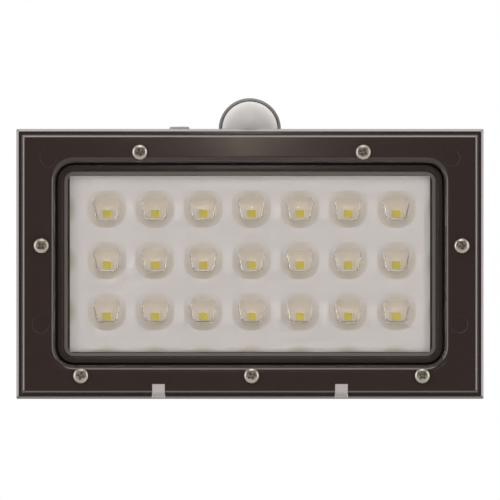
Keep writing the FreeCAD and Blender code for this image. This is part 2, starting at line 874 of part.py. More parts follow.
def housing_posts(body):
    bosses = front_sketch(body, "boss_outlines", OUTER_FLOOR)
    circles(bosses, bezel_screw_places(), S.boss_radius)
    pad(body, "bosses", bosses, BOSS_TOP - OUTER_FLOOR)
    holes = front_sketch(body, "boss_hole_outlines", BOSS_TOP)
    circles(holes, bezel_screw_places(), HOLE)
    pocket(body, "boss_holes", holes, S.bezel_screw_length)
    posts = front_sketch(body, "heat_post_outlines", FLOOR)
    circles(posts, heat_post_places(), S.heat_post_radius)
    pad(body, "heat_posts", posts, HEAT_BACK - FLOOR)
    small = (S.small_screw + S.screw_hole_gap) / 2
    post_holes = front_sketch(body, "heat_post_hole_outlines", HEAT_BACK)
    circles(post_holes, heat_post_places(), small)
    pocket(body, "heat_post_holes", post_holes, S.small_screw_length)
    feet = front_sketch(body, "control_post_outlines", FLOOR)
    circles(feet, control_post_places(), S.control_post_radius)
    pad(body, "control_posts", feet, S.control_post_height)
    foot_holes = front_sketch(body, "control_post_hole_outlines", FLOOR + S.control_post_height)
    circles(foot_holes, control_post_places(), small)
    pocket(body, "control_post_holes", foot_holes, S.control_post_height)


def top_wall_cuts(body):
    posts = top_sketch(body, "sensor_post_outlines", BOARD_TOP)
    circles(posts, sensor_post_places(), S.sensor_post_radius)
    pad(body, "sensor_posts", posts, WALL_UNDER - BOARD_TOP)
    holes = top_sketch(body, "sensor_post_hole_outlines", BOARD_TOP)
    circles(holes, sensor_post_places(), (S.small_screw + S.screw_hole_gap) / 2)
    pocket(body, "sensor_post_holes", holes, S.sensor_board_drop, forward=True)
    openings = top_sketch(body, "top_hole_outlines", BODY_TOP)
    circle(openings, NONE, -SENSOR_AT, S.dome_radius + S.hood_gap)
    rounded(openings, -S.button_x, -SENSOR_AT, S.button_width / 2 + S.button_gap,
            S.button_depth / 2 + S.button_gap, S.button_corner + S.button_gap)
    pocket(body, "top_holes", openings, S.housing_wall)


def clip_catches(body):
    """Shallow recesses under the bottom wall that the clip hooks drop into."""
    catch = front_sketch(body, "catch_outlines", clip_leg_end() - S.clip_gap)
    half = S.clip_width / 2 + S.clip_gap
    for x in mirrored_x(S.clip_x):
        rectangle(catch, x, BODY_BOTTOM, half, S.clip_hook + S.clip_gap)
    pocket(body, "catches", catch, S.clip_hook_height + S.clip_gap * 2, forward=True)


# ---------------------------------------------------------------- bezel

def front_bezel():
    body = new_body("front_bezel")
    half_x = S.head_width / 2
    half_z = S.head_height / 2
    flange = front_sketch(body, "flange_outline", FLANGE_BACK)
    rounded(flange, NONE, CENTRE, half_x, half_z, S.flange_corner)
    pad(body, "flange", flange, S.flange_edge)
    side_foot = front_sketch(body, "flange_side_foot", FLANGE_BACK + S.flange_edge)
    rounded(side_foot, NONE, CENTRE, half_x, half_z, S.flange_corner)
    side_top = front_sketch(body, "flange_side_top", FLANGE_FRONT)
    rounded(side_top, NONE, CENTRE, half_x - S.flange_lean, half_z - S.flange_lean,
            S.flange_corner)
    loft(body, "flange_side", [side_foot, side_top])
    low = front_sketch(body, "plateau_foot", FLANGE_FRONT)
    rounded(low, NONE, CENTRE, BODY_X, BODY_Z, S.flange_corner)
    high = front_sketch(body, "plateau_top", PLATEAU)
    rounded(high, NONE, CENTRE, BODY_X - S.plateau_lean, BODY_Z - S.plateau_lean,
            S.flange_corner)
    loft(body, "plateau_wall", [low, high])
    bezel_inside(body)
    bezel_opening(body)
    bezel_screw_cuts(body)
    clip_notches(body)
    return body


def bezel_inside(body):
    """A skirt inside the housing rim, hollow behind the plateau."""
    outer_x = BODY_X - S.housing_wall - S.skirt_gap
    outer_z = BODY_Z - S.housing_wall - S.skirt_gap
    skirt = front_sketch(body, "skirt_outline", FLANGE_BACK)
    rectangle(skirt, NONE, CENTRE, outer_x, outer_z)
    pad(body, "skirt", skirt, S.skirt_length, backward=True)
    hollow = front_sketch(body, "hollow_outline", BOSS_TOP)
    rectangle(hollow, NONE, CENTRE, outer_x - S.skirt_thickness, outer_z - S.skirt_thickness)
    pocket(body, "hollow", hollow, BEZEL_INSIDE - BOSS_TOP, forward=True)
    lip = front_sketch(body, "lip_outline", BEZEL_INSIDE)
    rounded(lip, NONE, CENTRE, OPEN_X + S.lip_thickness, OPEN_Z + S.lip_thickness,
            S.opening_corner + S.lip_thickness)
    pad(body, "lip", lip, BEZEL_INSIDE - BOSS_TOP, backward=True)
    bosses = front_sketch(body, "bezel_boss_outlines", BEZEL_INSIDE)
    circles(bosses, bezel_screw_places(), S.boss_radius)
    pad(body, "bezel_bosses", bosses, BEZEL_INSIDE - BOSS_TOP, backward=True)


def on_lip(point, edge):
    """Whether an edge runs round the front of the window."""
    return (abs(point.y + PLATEAU.value) < 1e-4
            and abs(point.x) < OPEN_X.value + 1e-4
            and abs(point.z - CENTRE.value) < OPEN_Z.value + 1e-4)


def bezel_opening(body):
    """The window: a straight throat with a well rounded lip."""
    outline = front_sketch(body, "throat_outline", PLATEAU)
    rounded(outline, NONE, CENTRE, OPEN_X, OPEN_Z, S.opening_corner)
    throat = pocket(body, "throat", outline, PLATEAU - BOSS_TOP)
    doc.recompute()
    fillet(body, "lip_round", throat, edges_where(throat, on_lip), S.lip_round)


def bezel_screw_cuts(body):
    """Level seats under the screw heads, their holes, and four round marks."""
    seat_level = PLATEAU - S.seat_depth
    seats = front_sketch(body, "seat_outlines", PLATEAU)
    circles(seats, bezel_screw_places(), S.bezel_screw_head / 2 + S.screw_hole_gap)
    pocket(body, "seats", seats, S.seat_depth)
    holes = front_sketch(body, "bezel_hole_outlines", seat_level)
    circles(holes, bezel_screw_places(), HOLE)
    pocket(body, "bezel_holes", holes, PLATEAU - BOSS_TOP)
    marks = front_sketch(body, "mark_outlines", PLATEAU)
    for x in mirrored_x(S.head_width / 2 - S.upper_mark_side_inset):
        circle(marks, x, HEAD_TOP - S.upper_mark_end_inset, S.mark_diameter / 2)
    for x in mirrored_x(S.head_width / 2 - S.lower_mark_side_inset):
        circle(marks, x, CENTRE - S.lower_mark_drop, S.mark_diameter / 2)
    dishes = pocket(body, "marks", marks, S.mark_depth)
    dishes.setExpression("TaperAngle", (-S.mark_slope).formula)


def clip_leg_end():
    return FLANGE_FRONT - S.clip_leg_length


def clip_notches(body):
    """Stepped notches in the bottom edge, with a slot through the flange."""
    gap = S.clip_gap
    top = HEAD_BOTTOM + S.clip_height + gap
    plateau_floor = -PLATEAU + S.clip_depth
    flange_floor = -FLANGE_FRONT + S.clip_depth
    inner_z = BODY_BOTTOM + S.clip_depth / 2
    outer_z = BODY_BOTTOM - S.clip_leg - gap * 2
    past = -PLATEAU - S.clip_depth
    for side, middle in (("right", S.clip_x), ("left", -S.clip_x)):
        start = middle - S.clip_width / 2 - gap
        notch = side_sketch(body, side + "_notch_outline", start)
        polygon(notch, [
            (past, top),
            (plateau_floor, top),
            (plateau_floor, inner_z + S.plateau_lean),
            (flange_floor, inner_z),
            (flange_floor, BODY_BOTTOM),
            (-FLANGE_BACK + gap, BODY_BOTTOM),
            (-FLANGE_BACK + gap, outer_z),
            (past, outer_z),
        ])
        pocket(body, side + "_notch", notch, S.clip_width + gap * 2, forward=True)


def bezel_clips():
    """Moulded clips: a stepped face plate, a leg and a hook behind the wall."""
    body = new_body("bezel_clips")
    proud = S.clip_proud
    top = HEAD_BOTTOM + S.clip_height
    inner_z = BODY_BOTTOM + S.clip_depth / 2 - S.clip_gap
    leg_in = BODY_BOTTOM - S.clip_gap
    leg_out = leg_in - S.clip_leg
    leg_end = -clip_leg_end()
    for side, middle in (("right", S.clip_x), ("left", -S.clip_x)):
        outline = side_sketch(body, side + "_clip_outline", middle - S.clip_width / 2)
        polygon(outline, [
            (-PLATEAU - proud, top),
            (-PLATEAU + S.clip_depth, top),
            (-PLATEAU + S.clip_depth, inner_z + S.plateau_lean),
            (-FLANGE_FRONT + S.clip_depth, inner_z),
            (-FLANGE_FRONT + S.clip_depth, leg_in),
            (leg_end - S.clip_hook_height, leg_in),
            (leg_end - S.clip_hook_height, leg_in + S.clip_hook),
            (leg_end, leg_in + S.clip_gap),
            (leg_end, leg_out),
            (-FLANGE_FRONT - proud, leg_out),
            (-FLANGE_FRONT - proud, BODY_BOTTOM - proud),
            (-PLATEAU - proud, BODY_BOTTOM + S.plateau_lean - proud),
        ])
        pad(body, side + "_clip", outline, S.clip_width)
    return body


def ring_between(label, outer, inner, back, thickness):
    """A flat ring; outer and inner are (half width, half height, corner)."""
    body = new_body(label)
    sketch = front_sketch(body, label + "_outline", back)
    rounded(sketch, NONE, CENTRE, *outer)
    rounded(sketch, NONE, CENTRE, *inner)
    pad(body, label + "_ring", sketch, thickness)
    return body


def housing_seal():
    wall = S.housing_wall
    outer = (BODY_X, BODY_Z, S.housing_corner)
    inner = (BODY_X - wall, BODY_Z - wall, S.housing_corner / 2)
    return ring_between("housing_seal", outer, inner, RIM, S.rim_seal_thickness)


def bezel_gasket():
    """Fills the foot of the groove, from behind the lip to beside the lens frame."""
    lip = S.lip_thickness
    reach = S.frame_gap - S.gasket_gap
    outer = (OPEN_X + lip, OPEN_Z + lip, S.opening_corner + lip)
    inner = (OPEN_X - reach, OPEN_Z - reach, S.opening_corner - reach)
    return ring_between("bezel_gasket", outer, inner, HEAT_FRONT, BOSS_TOP - HEAT_FRONT)


def cross_screw(name, x, seat, z, head_radius, head_height, shank_radius, length):
    """A pan head with a cross recess, facing forward from its seat."""
    crown = head_height / 2
    head = cylinder(name + "_head", head_radius, crown, x, seat, z, "forward")
    dome = cone(name + "_crown", head_radius, head_radius * 0.6, crown,
                x, seat + crown, z, "forward")
    shank = cylinder(name + "_shank", shank_radius, length, x, seat - length, z, "forward")
    blank = fused(name + "_blank", [head, dome, shank])
    floor = seat + head_height - S.recess_depth
    wide = block(name + "_slot", x, floor, z, S.recess_reach / 2, S.recess_depth,
                 S.recess_width / 2)
    tall = block(name + "_cross_slot", x, floor, z, S.recess_width / 2, S.recess_depth,
                 S.recess_reach / 2)
    return cut(name, cut(name + "_slotted", blank, wide), tall)


def bezel_screws():
    items = []
    for number, (x, z) in enumerate(bezel_screw_places(), 1):
        items.append(cross_screw("bezel_screw_%d" % number, x, PLATEAU - S.seat_depth, z,
                                 S.bezel_screw_head / 2, S.bezel_screw_head_height,
                                 S.bezel_screw_shank / 2, S.bezel_screw_length))
    return group("bezel_screws", items)


# ---------------------------------------------------------------- light engine

def lens_frame():
    body = new_body("lens_frame")
    front = PLATEAU - S.frame_drop
    corner = S.opening_corner - S.frame_gap
    outline = front_sketch(body, "frame_outline", HEAT_FRONT)
    rounded(outline, NONE, CENTRE, FRAME_X, FRAME_Z, corner)
    pad(body, "frame_block", outline, front - HEAT_FRONT)
    bore = front_sketch(body, "frame_bore_outline", front)
    rounded(bore, NONE, CENTRE, BORE_X, BORE_Z, corner - S.frame_width)
    pocket(body, "frame_bore", bore, front - HEAT_FRONT)
    foot_level = front - S.frame_lean_depth
    ledge = S.frame_ledge
    foot = front_sketch(body, "frame_lean_foot", foot_level)
    deep = ledge + S.frame_lean
    rounded(foot, NONE, CENTRE, FRAME_X - deep, FRAME_Z - deep, corner - deep)
    top = front_sketch(body, "frame_lean_top", front)
    rounded(top, NONE, CENTRE, FRAME_X - ledge, FRAME_Z - ledge, corner - ledge)
    loft(body, "frame_lean", [foot, top], cutting=True)
    return body


def lens_seal():
    corner = S.opening_corner - S.frame_gap - S.frame_width
    outer = (BORE_X, BORE_Z, corner)
    inner = (SEAL_X, SEAL_Z, corner - S.seal_width)
    return ring_between("lens_seal", outer, inner, LENS_EDGE, PANEL - LENS_EDGE + S.seal_proud)


def optic_discs(inset):
    """The shield outline of one optic about its chip, drawn in by inset."""
    top = S.optic_top_round
    low = S.optic_low_round
    x = S.array_shift + spread(0, counted("optic_columns"), PITCH_X)
    z = CENTRE - S.array_drop + spread(0, counted("optic_rows"), PITCH_Z)
    half = S.optic_half_width
    return [
        (x - half + low, z - S.optic_down + low, low - inset),
        (x + half - low, z - S.optic_down + low, low - inset),
        (x + half - top, z + S.optic_up - top, top - inset),
        (x - half + top, z + S.optic_up - top, top - inset),
    ]


def cavity_discs(inset):
    """The air pocket over the chip: wide towards the top, narrow below."""
    top = S.cavity_top_round
    low = S.cavity_low_round
    x = S.array_shift + spread(0, counted("optic_columns"), PITCH_X)
    z = CENTRE - S.array_drop + spread(0, counted("optic_rows"), PITCH_Z)
    return [
        (x - S.cavity_low_half + low, z - S.cavity_down + low, low - inset),
        (x + S.cavity_low_half - low, z - S.cavity_down + low, low - inset),
        (x + S.cavity_top_half - top, z + S.cavity_up - top, top - inset),
        (x - S.cavity_top_half + top, z + S.cavity_up - top, top - inset),
    ]


def disc_sketch(body, name, forward, discs):
    sketch = front_sketch(body, name, forward)
    belt(sketch, discs)
    return sketch


def repeat_optics(body, name, feature, sketch):
    """Seven columns by three rows of one optic feature."""
    pattern = body.newObject("PartDesign::LinearPattern", name)
    pattern.Originals = [feature]
    pattern.Mode = "Extent"
    pattern.Mode2 = "Extent"
    pattern.Direction = (sketch, ["H_Axis"])
    pattern.Direction2 = (sketch, ["V_Axis"])
    pattern.setExpression("Occurrences", S.optic_columns.formula)
    pattern.setExpression("Occurrences2", S.optic_rows.formula)
    pattern.setExpression("Length", (PITCH_X * (S.optic_columns - 1)).formula)
    pattern.setExpression("Length2", (PITCH_Z * (S.optic_rows - 1)).formula)
    body.Tip = pattern
    return pattern


def lens_plate():
    body = new_body("lens_plate")
    corner = S.opening_corner - S.frame_gap - S.frame_width - S.lens_edge_gap
    edge = front_sketch(body, "lens_edge_outline", LENS_BACK)
    rounded(edge, NONE, CENTRE, BORE_X - S.lens_edge_gap, BORE_Z - S.lens_edge_gap, corner)
    pad(body, "lens_edge", edge, S.lens_edge_thickness)
    panel = front_sketch(body, "panel_outline", LENS_EDGE)
    rounded(panel, NONE, CENTRE, PANEL_X, PANEL_Z, S.panel_corner)
    pad(body, "panel", panel, PANEL - LENS_EDGE)
    foot = disc_sketch(body, "optic_foot", PANEL, optic_discs(NONE))
    shoulder = disc_sketch(body, "optic_shoulder", PANEL + S.optic_shoulder,
                           optic_discs(S.optic_shoulder_inset))
    crown = disc_sketch(body, "optic_crown", PANEL + S.optic_height,
                        optic_discs(S.optic_crown_inset))
    optic = loft(body, "optic", [foot, shoulder, crown])
    repeat_optics(body, "optics", optic, foot)
    mouth = disc_sketch(body, "cavity_mouth", LENS_BACK, cavity_discs(NONE))
    roof = disc_sketch(body, "cavity_roof", PANEL + S.optic_height - S.cavity_roof,
                       cavity_discs(S.cavity_inset))
    cavity = loft(body, "cavity", [mouth, roof], cutting=True)
    repeat_optics(body, "cavities", cavity, mouth)
    return body


def led_board():
    body = new_body("led_board")
    corner = S.opening_corner - S.frame_gap - S.frame_width - S.board_edge_gap
    outline = front_sketch(body, "led_board_outline", BOARD_BACK)
    rounded(outline, NONE, CENTRE, BORE_X - S.board_edge_gap, BORE_Z - S.board_edge_gap, corner)
    pad(body, "led_board_plate", outline, S.led_board_thickness)
    return body


def led_chips():
    columns = counted("optic_columns")
    rows = counted("optic_rows")
    items = []
    for row in range(rows):
        for column in range(columns):
            x = S.array_shift + spread(column, columns, PITCH_X)
            z = CENTRE - S.array_drop + spread(row, rows, PITCH_Z)
            items.append(block("chip_%d_%d" % (row + 1, column + 1), x, LENS_BACK, z,
                               S.chip_size / 2, S.chip_height, S.chip_size / 2))
    return group("led_chips", items)


def thermal_pad():
    body = new_body("thermal_pad")
    outline = front_sketch(body, "thermal_pad_outline", HEAT_FRONT)
    gap = S.board_edge_gap
    rectangle(outline, NONE, CENTRE, BORE_X - gap * 4, BORE_Z - gap * 4)
    pad(body, "thermal_sheet", outline, S.thermal_pad_thickness)
    return body


def heat_sink():
    body = new_body("heat_sink")
    outline = front_sketch(body, "heat_sink_outline", HEAT_BACK)
    rounded(outline, NONE, CENTRE, HEAT_X, HEAT_Z, S.opening_corner + S.lip_thickness)
    pad(body, "heat_sink_plate", outline, S.heat_sink_thickness)
    fins = front_sketch(body, "fin_outlines", HEAT_BACK)
    for number in range(counted("fin_count")):
        x = FIN_START + FIN_PITCH * number
        rectangle(fins, x, CENTRE, S.fin_thickness / 2, HEAT_Z - S.fin_end_margin)
    pad(body, "fins", fins, S.fin_height, backward=True)
    holes = front_sketch(body, "heat_sink_hole_outlines", HEAT_FRONT)
    circles(holes, heat_post_places(), (S.small_screw + S.screw_hole_gap) / 2)
    pocket(body, "heat_sink_holes", holes, S.heat_sink_thickness)
    sinks = front_sketch(body, "heat_sink_sink_outlines", HEAT_FRONT)
    circles(sinks, heat_post_places(), (S.small_screw_head + S.screw_hole_gap) / 2)
    pocket(body, "heat_sink_sinks", sinks, S.small_screw_head_height)
    return body


def flat_screws(label, places, seat):
    """Low cylinder-head screws driven backwards from their seat."""
    items = []
    for number, (x, z) in enumerate(places, 1):
        name = "%s_%d" % (label, number)
        head = cylinder(name + "_head", S.small_screw_head / 2, S.small_screw_head_height,
                        x, seat, z, "forward")
        shank = cylinder(name + "_shank", S.small_screw / 2, S.small_screw_length / 2,
                         x, seat - S.small_screw_length / 2, z, "forward")
        items.append(fused(name, [head, shank]))
    return group(label, items)


# ---------------------------------------------------------------- inside

def cell_place(index):
    return CENTRE + spread(index, counted("cell_count"), S.cell_pitch)


def battery_cells():
    items = []
    for index in range(counted("cell_count")):
        start = BATTERY_X - S.cell_length / 2
        items.append(cylinder("battery_cell_%d" % (index + 1), S.cell_diameter / 2, S.cell_length,
                              start, TRAY_TOP + S.cell_diameter / 2, cell_place(index), "right"))
    return group("battery_cells", items)


def battery_tray():
    """A floor with end walls and side walls round the cells."""
    body = new_body("battery_tray")
    wall = S.tray_wall
    outline = front_sketch(body, "tray_outline", FLOOR)
    rectangle(outline, BATTERY_X, CENTRE, TRAY_X, TRAY_Z)
    pad(body, "tray_block", outline, S.tray_floor + S.tray_lip)
    hollow = front_sketch(body, "tray_hollow_outline", TRAY_TOP + S.tray_lip)
    rectangle(hollow, BATTERY_X, CENTRE, TRAY_X - wall, TRAY_Z - wall)
    pocket(body, "tray_hollow", hollow, S.tray_lip)
    return body


def control_board():
    body = new_body("control_board")
    outline = front_sketch(body, "control_board_outline", FLOOR + S.control_post_height)
    rectangle(outline, CONTROL_X, CENTRE, CONTROL_HALF, S.control_board_height / 2)
    circles(outline, control_post_places(), (S.small_screw + S.screw_hole_gap) / 2)
    pad(body, "control_board_plate", outline, S.control_board_thickness)
    return body


def board_parts():
    """The charging coil, two capacitors and three lead connectors."""
    top = FLOOR + S.control_post_height + S.control_board_thickness
    middle = CONTROL_X
    aside = CONTROL_HALF / 2
    up = S.control_board_height / 4
    items = [cylinder("coil", S.coil_radius, S.coil_height, middle, top, CENTRE, "forward")]
    for number, x in enumerate((middle - aside, middle + aside), 1):
        items.append(cylinder("capacitor_%d" % number, S.capacitor_radius, S.capacitor_height,
                              x, top, CENTRE, "forward"))
    for number in range(3):
        x = middle + spread(number, 3, aside)
        items.append(block("connector_%d" % (number + 1), x, top, CENTRE + up,
                           S.connector_width / 2, S.connector_height, S.connector_depth / 2))
    return group("board_parts", items)


# ---------------------------------------------------------------- solar panel

def solar_plate(label, back, thickness):
    body = new_body(label)
    outline = front_sketch(body, label + "_outline", back)
    rectangle(outline, NONE, SOLAR_Z, SOLAR_HALF_X, SOLAR_HALF_Z)
    pad(body, label + "_plate", outline, thickness)
    return body


def solar_cells():
    columns = counted("solar_cell_columns")
    margin = S.solar_cell_margin - S.solar_cell_gap / 2
    pitch = (SOLAR_HALF_X - margin) * 2 / columns
    row_pitch = SOLAR_HALF_Z - margin
    items = []
    for row in range(2):
        for column in range(columns):
            items.append(block("solar_cell_%d_%d" % (row + 1, column + 1),
                               spread(column, columns, pitch), CELLS_BACK,
                               SOLAR_Z + spread(row, 2, row_pitch),
                               (pitch - S.solar_cell_gap) / 2, S.solar_cell_thickness,
                               (row_pitch - S.solar_cell_gap) / 2))
    return group("solar_cells", items)


def solar_seal():
    """A bead that fills the gap round the glass."""
    body = new_body("solar_seal")
    gap = S.solar_edge_gap
    outline = front_sketch(body, "solar_seal_outline", GLASS_BACK)
    rectangle(outline, NONE, SOLAR_Z, SOLAR_HALF_X + gap, SOLAR_HALF_Z + gap)
    rectangle(outline, NONE, SOLAR_Z, SOLAR_HALF_X, SOLAR_HALF_Z)
    pad(body, "solar_bead", outline, BACKING_FRONT - GLASS_BACK)
    return body


# ---------------------------------------------------------------- sensor

def quarter_shell(sketch, outer, inner, centre_z, foot_z):
    """Profile of a dome from its top to a straight foot, right of the axis."""
    first = sketch.GeometryCount
    big = Part.Circle(vector(0, centre_z.value), vector(0, 0, 1), outer.value)
    small = Part.Circle(vector(0, centre_z.value), vector(0, 0, 1), inner.value)
    right = math.pi / 2
    sketch.addGeometry(Part.ArcOfCircle(big, 0, right))
    sketch.addGeometry(Part.ArcOfCircle(small, 0, right))
    points = (
        (NONE, centre_z + inner, NONE, centre_z + outer),
        (outer, centre_z, outer, foot_z),
        (outer, foot_z, inner, foot_z),
        (inner, foot_z, inner, centre_z),
    )
    for x1, y1, x2, y2 in points:
        line = Part.LineSegment(vector(x1.value, y1.value), vector(x2.value, y2.value))
        sketch.addGeometry(line)
    top, outside, foot, inside = (first + 2, first + 3, first + 4, first + 5)
    joints = (
        (first, 2, top, 2), (first + 1, 2, top, 1), (first, 1, outside, 1),
        (outside, 2, foot, 1), (foot, 2, inside, 1), (inside, 2, first + 1, 1),
    )
    for joint in joints:
        sketch.addConstraint(Sketcher.Constraint("Coincident", *joint))
    hold_point(sketch, first, 3, NONE, centre_z)
    hold_point(sketch, first + 1, 3, NONE, centre_z)
    hold_point(sketch, outside, 1, outer, centre_z)
    hold_point(sketch, inside, 2, inner, centre_z)
    hold_point(sketch, outside, 2, outer, foot_z)
    hold_point(sketch, foot, 2, inner, foot_z)
    hold(sketch, "DistanceX", top, 2, NONE)
    hold(sketch, "DistanceX", top, 1, NONE)


def dome_flange_top():
    return WALL_UNDER - S.dome_gasket_thickness


def upright_ring(body, name, outer, inner, bottom, height):
    sketch = top_sketch(body, name + "_outline", bottom)
    circle(sketch, NONE, -SENSOR_AT, outer)
    circle(sketch, NONE, -SENSOR_AT, inner)
    return pad(body, name, sketch, height)


def moved_to_sensor(body):
    body.setExpression("Placement.Base.y", (-SENSOR_AT).formula)
    return body


def dome_body(label, outer, inner, angle, foot_z, backward=False):
    body = new_body(label)
    sketch = sketch_on(body, label + "_profile", "XZ_Plane", NONE)
    quarter_shell(sketch, outer, inner, HEAD_TOP, foot_z)
    turn(body, label + "_shell", sketch, angle, backward)
    return body


def local_ring(body, name, outer, inner, bottom, height):
    """A ring about the body's own upright axis."""
    sketch = top_sketch(body, name + "_outline", bottom)
    circle(sketch, NONE, NONE, outer)
    circle(sketch, NONE, NONE, inner)
    return pad(body, name, sketch, height)


def pir_dome():
    inner = S.dome_radius - S.dome_wall
    foot = dome_flange_top() - S.dome_flange_thickness
    body = dome_body("pir_dome", S.dome_radius, inner, 360, foot)
    local_ring(body, "dome_flange", S.dome_flange_radius, inner, foot, S.dome_flange_thickness)
    return moved_to_sensor(body)


def sensor_hood():
    """An eyelid over the wall side of the dome, on a collar round its foot."""
    inner = S.dome_radius + S.hood_gap
    body = dome_body("sensor_hood", S.hood_radius, inner, 180, BODY_TOP)
    local_ring(body, "collar", S.collar_radius, inner, BODY_TOP, HEAD_TOP - BODY_TOP)
    return moved_to_sensor(body)


def dome_gasket():
    body = new_body("dome_gasket")
    upright_ring(body, "dome_gasket_ring", S.dome_flange_radius, S.dome_radius + S.hood_gap,
                 dome_flange_top(), S.dome_gasket_thickness)
    return body


def dome_retainer():
    body = new_body("dome_retainer")
    top = dome_flange_top() - S.dome_flange_thickness
    upright_ring(body, "dome_retainer_ring", S.dome_flange_radius, S.dome_radius - S.dome_wall,
                 BOARD_TOP, top - BOARD_TOP)
    return body


def sensor_board():
    body = new_body("sensor_board")
    outline = top_sketch(body, "sensor_board_outline", BOARD_TOP)
    half = (S.sensor_board_left + S.sensor_board_right) / 2
    middle = (S.sensor_board_right - S.sensor_board_left) / 2
    rectangle(outline, middle, -SENSOR_AT, half, S.sensor_board_depth / 2)
    circles(outline, sensor_post_places(), (S.small_screw + S.screw_hole_gap) / 2)
    pad(body, "sensor_board_plate", outline, S.sensor_board_thickness, backward=True)
    return body


def sensor_board_screws():
    under = BOARD_TOP - S.sensor_board_thickness
    items = []
    for number, (x, plan_y) in enumerate(sensor_post_places(), 1):
        name = "sensor_screw_%d" % number
        head = cylinder(name + "_head", S.small_screw_head / 2, S.small_screw_head_height,
                        x, -plan_y, under - S.small_screw_head_height, "up")
        shank = cylinder(name + "_shank", S.small_screw / 2, S.small_screw_length / 2,
                         x, -plan_y, under, "up")
        items.append(fused(name, [head, shank]))
    return group("sensor_board_screws", items)


def pir_sensor():
    spacer_top = BOARD_TOP + S.sensor_spacer_height
    spacer = cylinder("sensor_spacer", S.sensor_can_radius, S.sensor_spacer_height,
                      NONE, SENSOR_AT, BOARD_TOP, "up")
    can = cylinder("sensor_can", S.sensor_can_radius * 0.9, S.sensor_can_height,
                   NONE, SENSOR_AT, spacer_top, "up")
    sensor = fused("pir_sensor", [spacer, can])
    sensor.Label = "pir_sensor"
    return sensor


def tact_switch():
    half = S.switch_body / 2
    base = block("switch_base", -S.button_x, SENSOR_AT - half, BOARD_TOP + S.switch_height / 2,
                 half, S.switch_body, S.switch_height / 2)
    foot = BOARD_TOP + S.switch_height
    pressed = WALL_UNDER - S.button_rim_thickness - S.button_travel
    plunger = cylinder("switch_plunger", S.switch_plunger_radius,
                       pressed - S.switch_plunger_gap - foot,
                       -S.button_x, SENSOR_AT, foot, "up")
    switch = fused("tact_switch", [base, plunger])
    switch.Label = "tact_switch"
    return switch


def mode_button():
    body = new_body("mode_button")
    top = HEAD_TOP + S.button_proud
    half_x = S.button_width / 2
    half_y = S.button_depth / 2
    stem = top_sketch(body, "stem_outline", WALL_UNDER)
    rounded(stem, -S.button_x, -SENSOR_AT, half_x, half_y, S.button_corner)
    cap = pad(body, "stem", stem, top - WALL_UNDER)
    doc.recompute()
    edges = edges_where(cap, lambda p, e: abs(p.z - top.value) < 1e-4)
    fillet(body, "cap_round", cap, edges, S.button_proud / 2)
    rim = top_sketch(body, "rim_outline", WALL_UNDER)
    rounded(rim, -S.button_x, -SENSOR_AT, half_x + S.button_rim, half_y + S.button_rim,
            S.button_corner)
    pad(body, "rim", rim, S.button_rim_thickness, backward=True)
    return body


# ---------------------------------------------------------------- whole part

def build_all():
    control_seat = FLOOR + S.control_post_height + S.control_board_thickness
    sink_floor = HEAT_FRONT - S.small_screw_head_height
    return [
        wall_plate(),
        hinge_bushes(),
        hinge_screws(),
        hinge_inserts(),
        rear_housing(),
        housing_seal(),
        front_bezel(),
        bezel_gasket(),
        bezel_screws(),
        bezel_clips(),
        lens_frame(),
        lens_seal(),
        lens_plate(),
        led_board(),
        led_chips(),
        thermal_pad(),
        heat_sink(),
        flat_screws("heat_sink_screws", heat_post_places(), sink_floor),
        battery_tray(),
        battery_cells(),
        control_board(),
        flat_screws("control_board_screws", control_post_places(), control_seat),
        board_parts(),
        solar_plate("solar_glass", GLASS_BACK, S.solar_glass_thickness),
        solar_cells(),
        solar_plate("solar_backing", BACKING_BACK, S.solar_backing_thickness),
        solar_seal(),
        pir_dome(),
        sensor_hood(),
        dome_gasket(),
        dome_retainer(),
        sensor_board(),
        sensor_board_screws(),
        pir_sensor(),
        tact_switch(),
        mode_button(),
    ]


def check_and_export(parts):
    doc.recompute()
    for item in doc.Objects:
        if "Invalid" in item.State or "Error" in item.State:
            raise RuntimeError("%s did not build: %s" % (item.Name, item.State))
    for part in parts:
        if part.Shape.isNull() or not part.Shape.isValid():
            raise RuntimeError("%s has no valid shape" % part.Label)
    os.makedirs("parts", exist_ok=True)
    for part in parts:
        part.Shape.exportStep("parts/%s.step" % part.Label)
        print("%-22s %2d solids %10.1f mm3" % (part.Label, len(part.Shape.Solids),
                                              part.Shape.Volume))


check_and_export(build_all())
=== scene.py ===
import json
import math

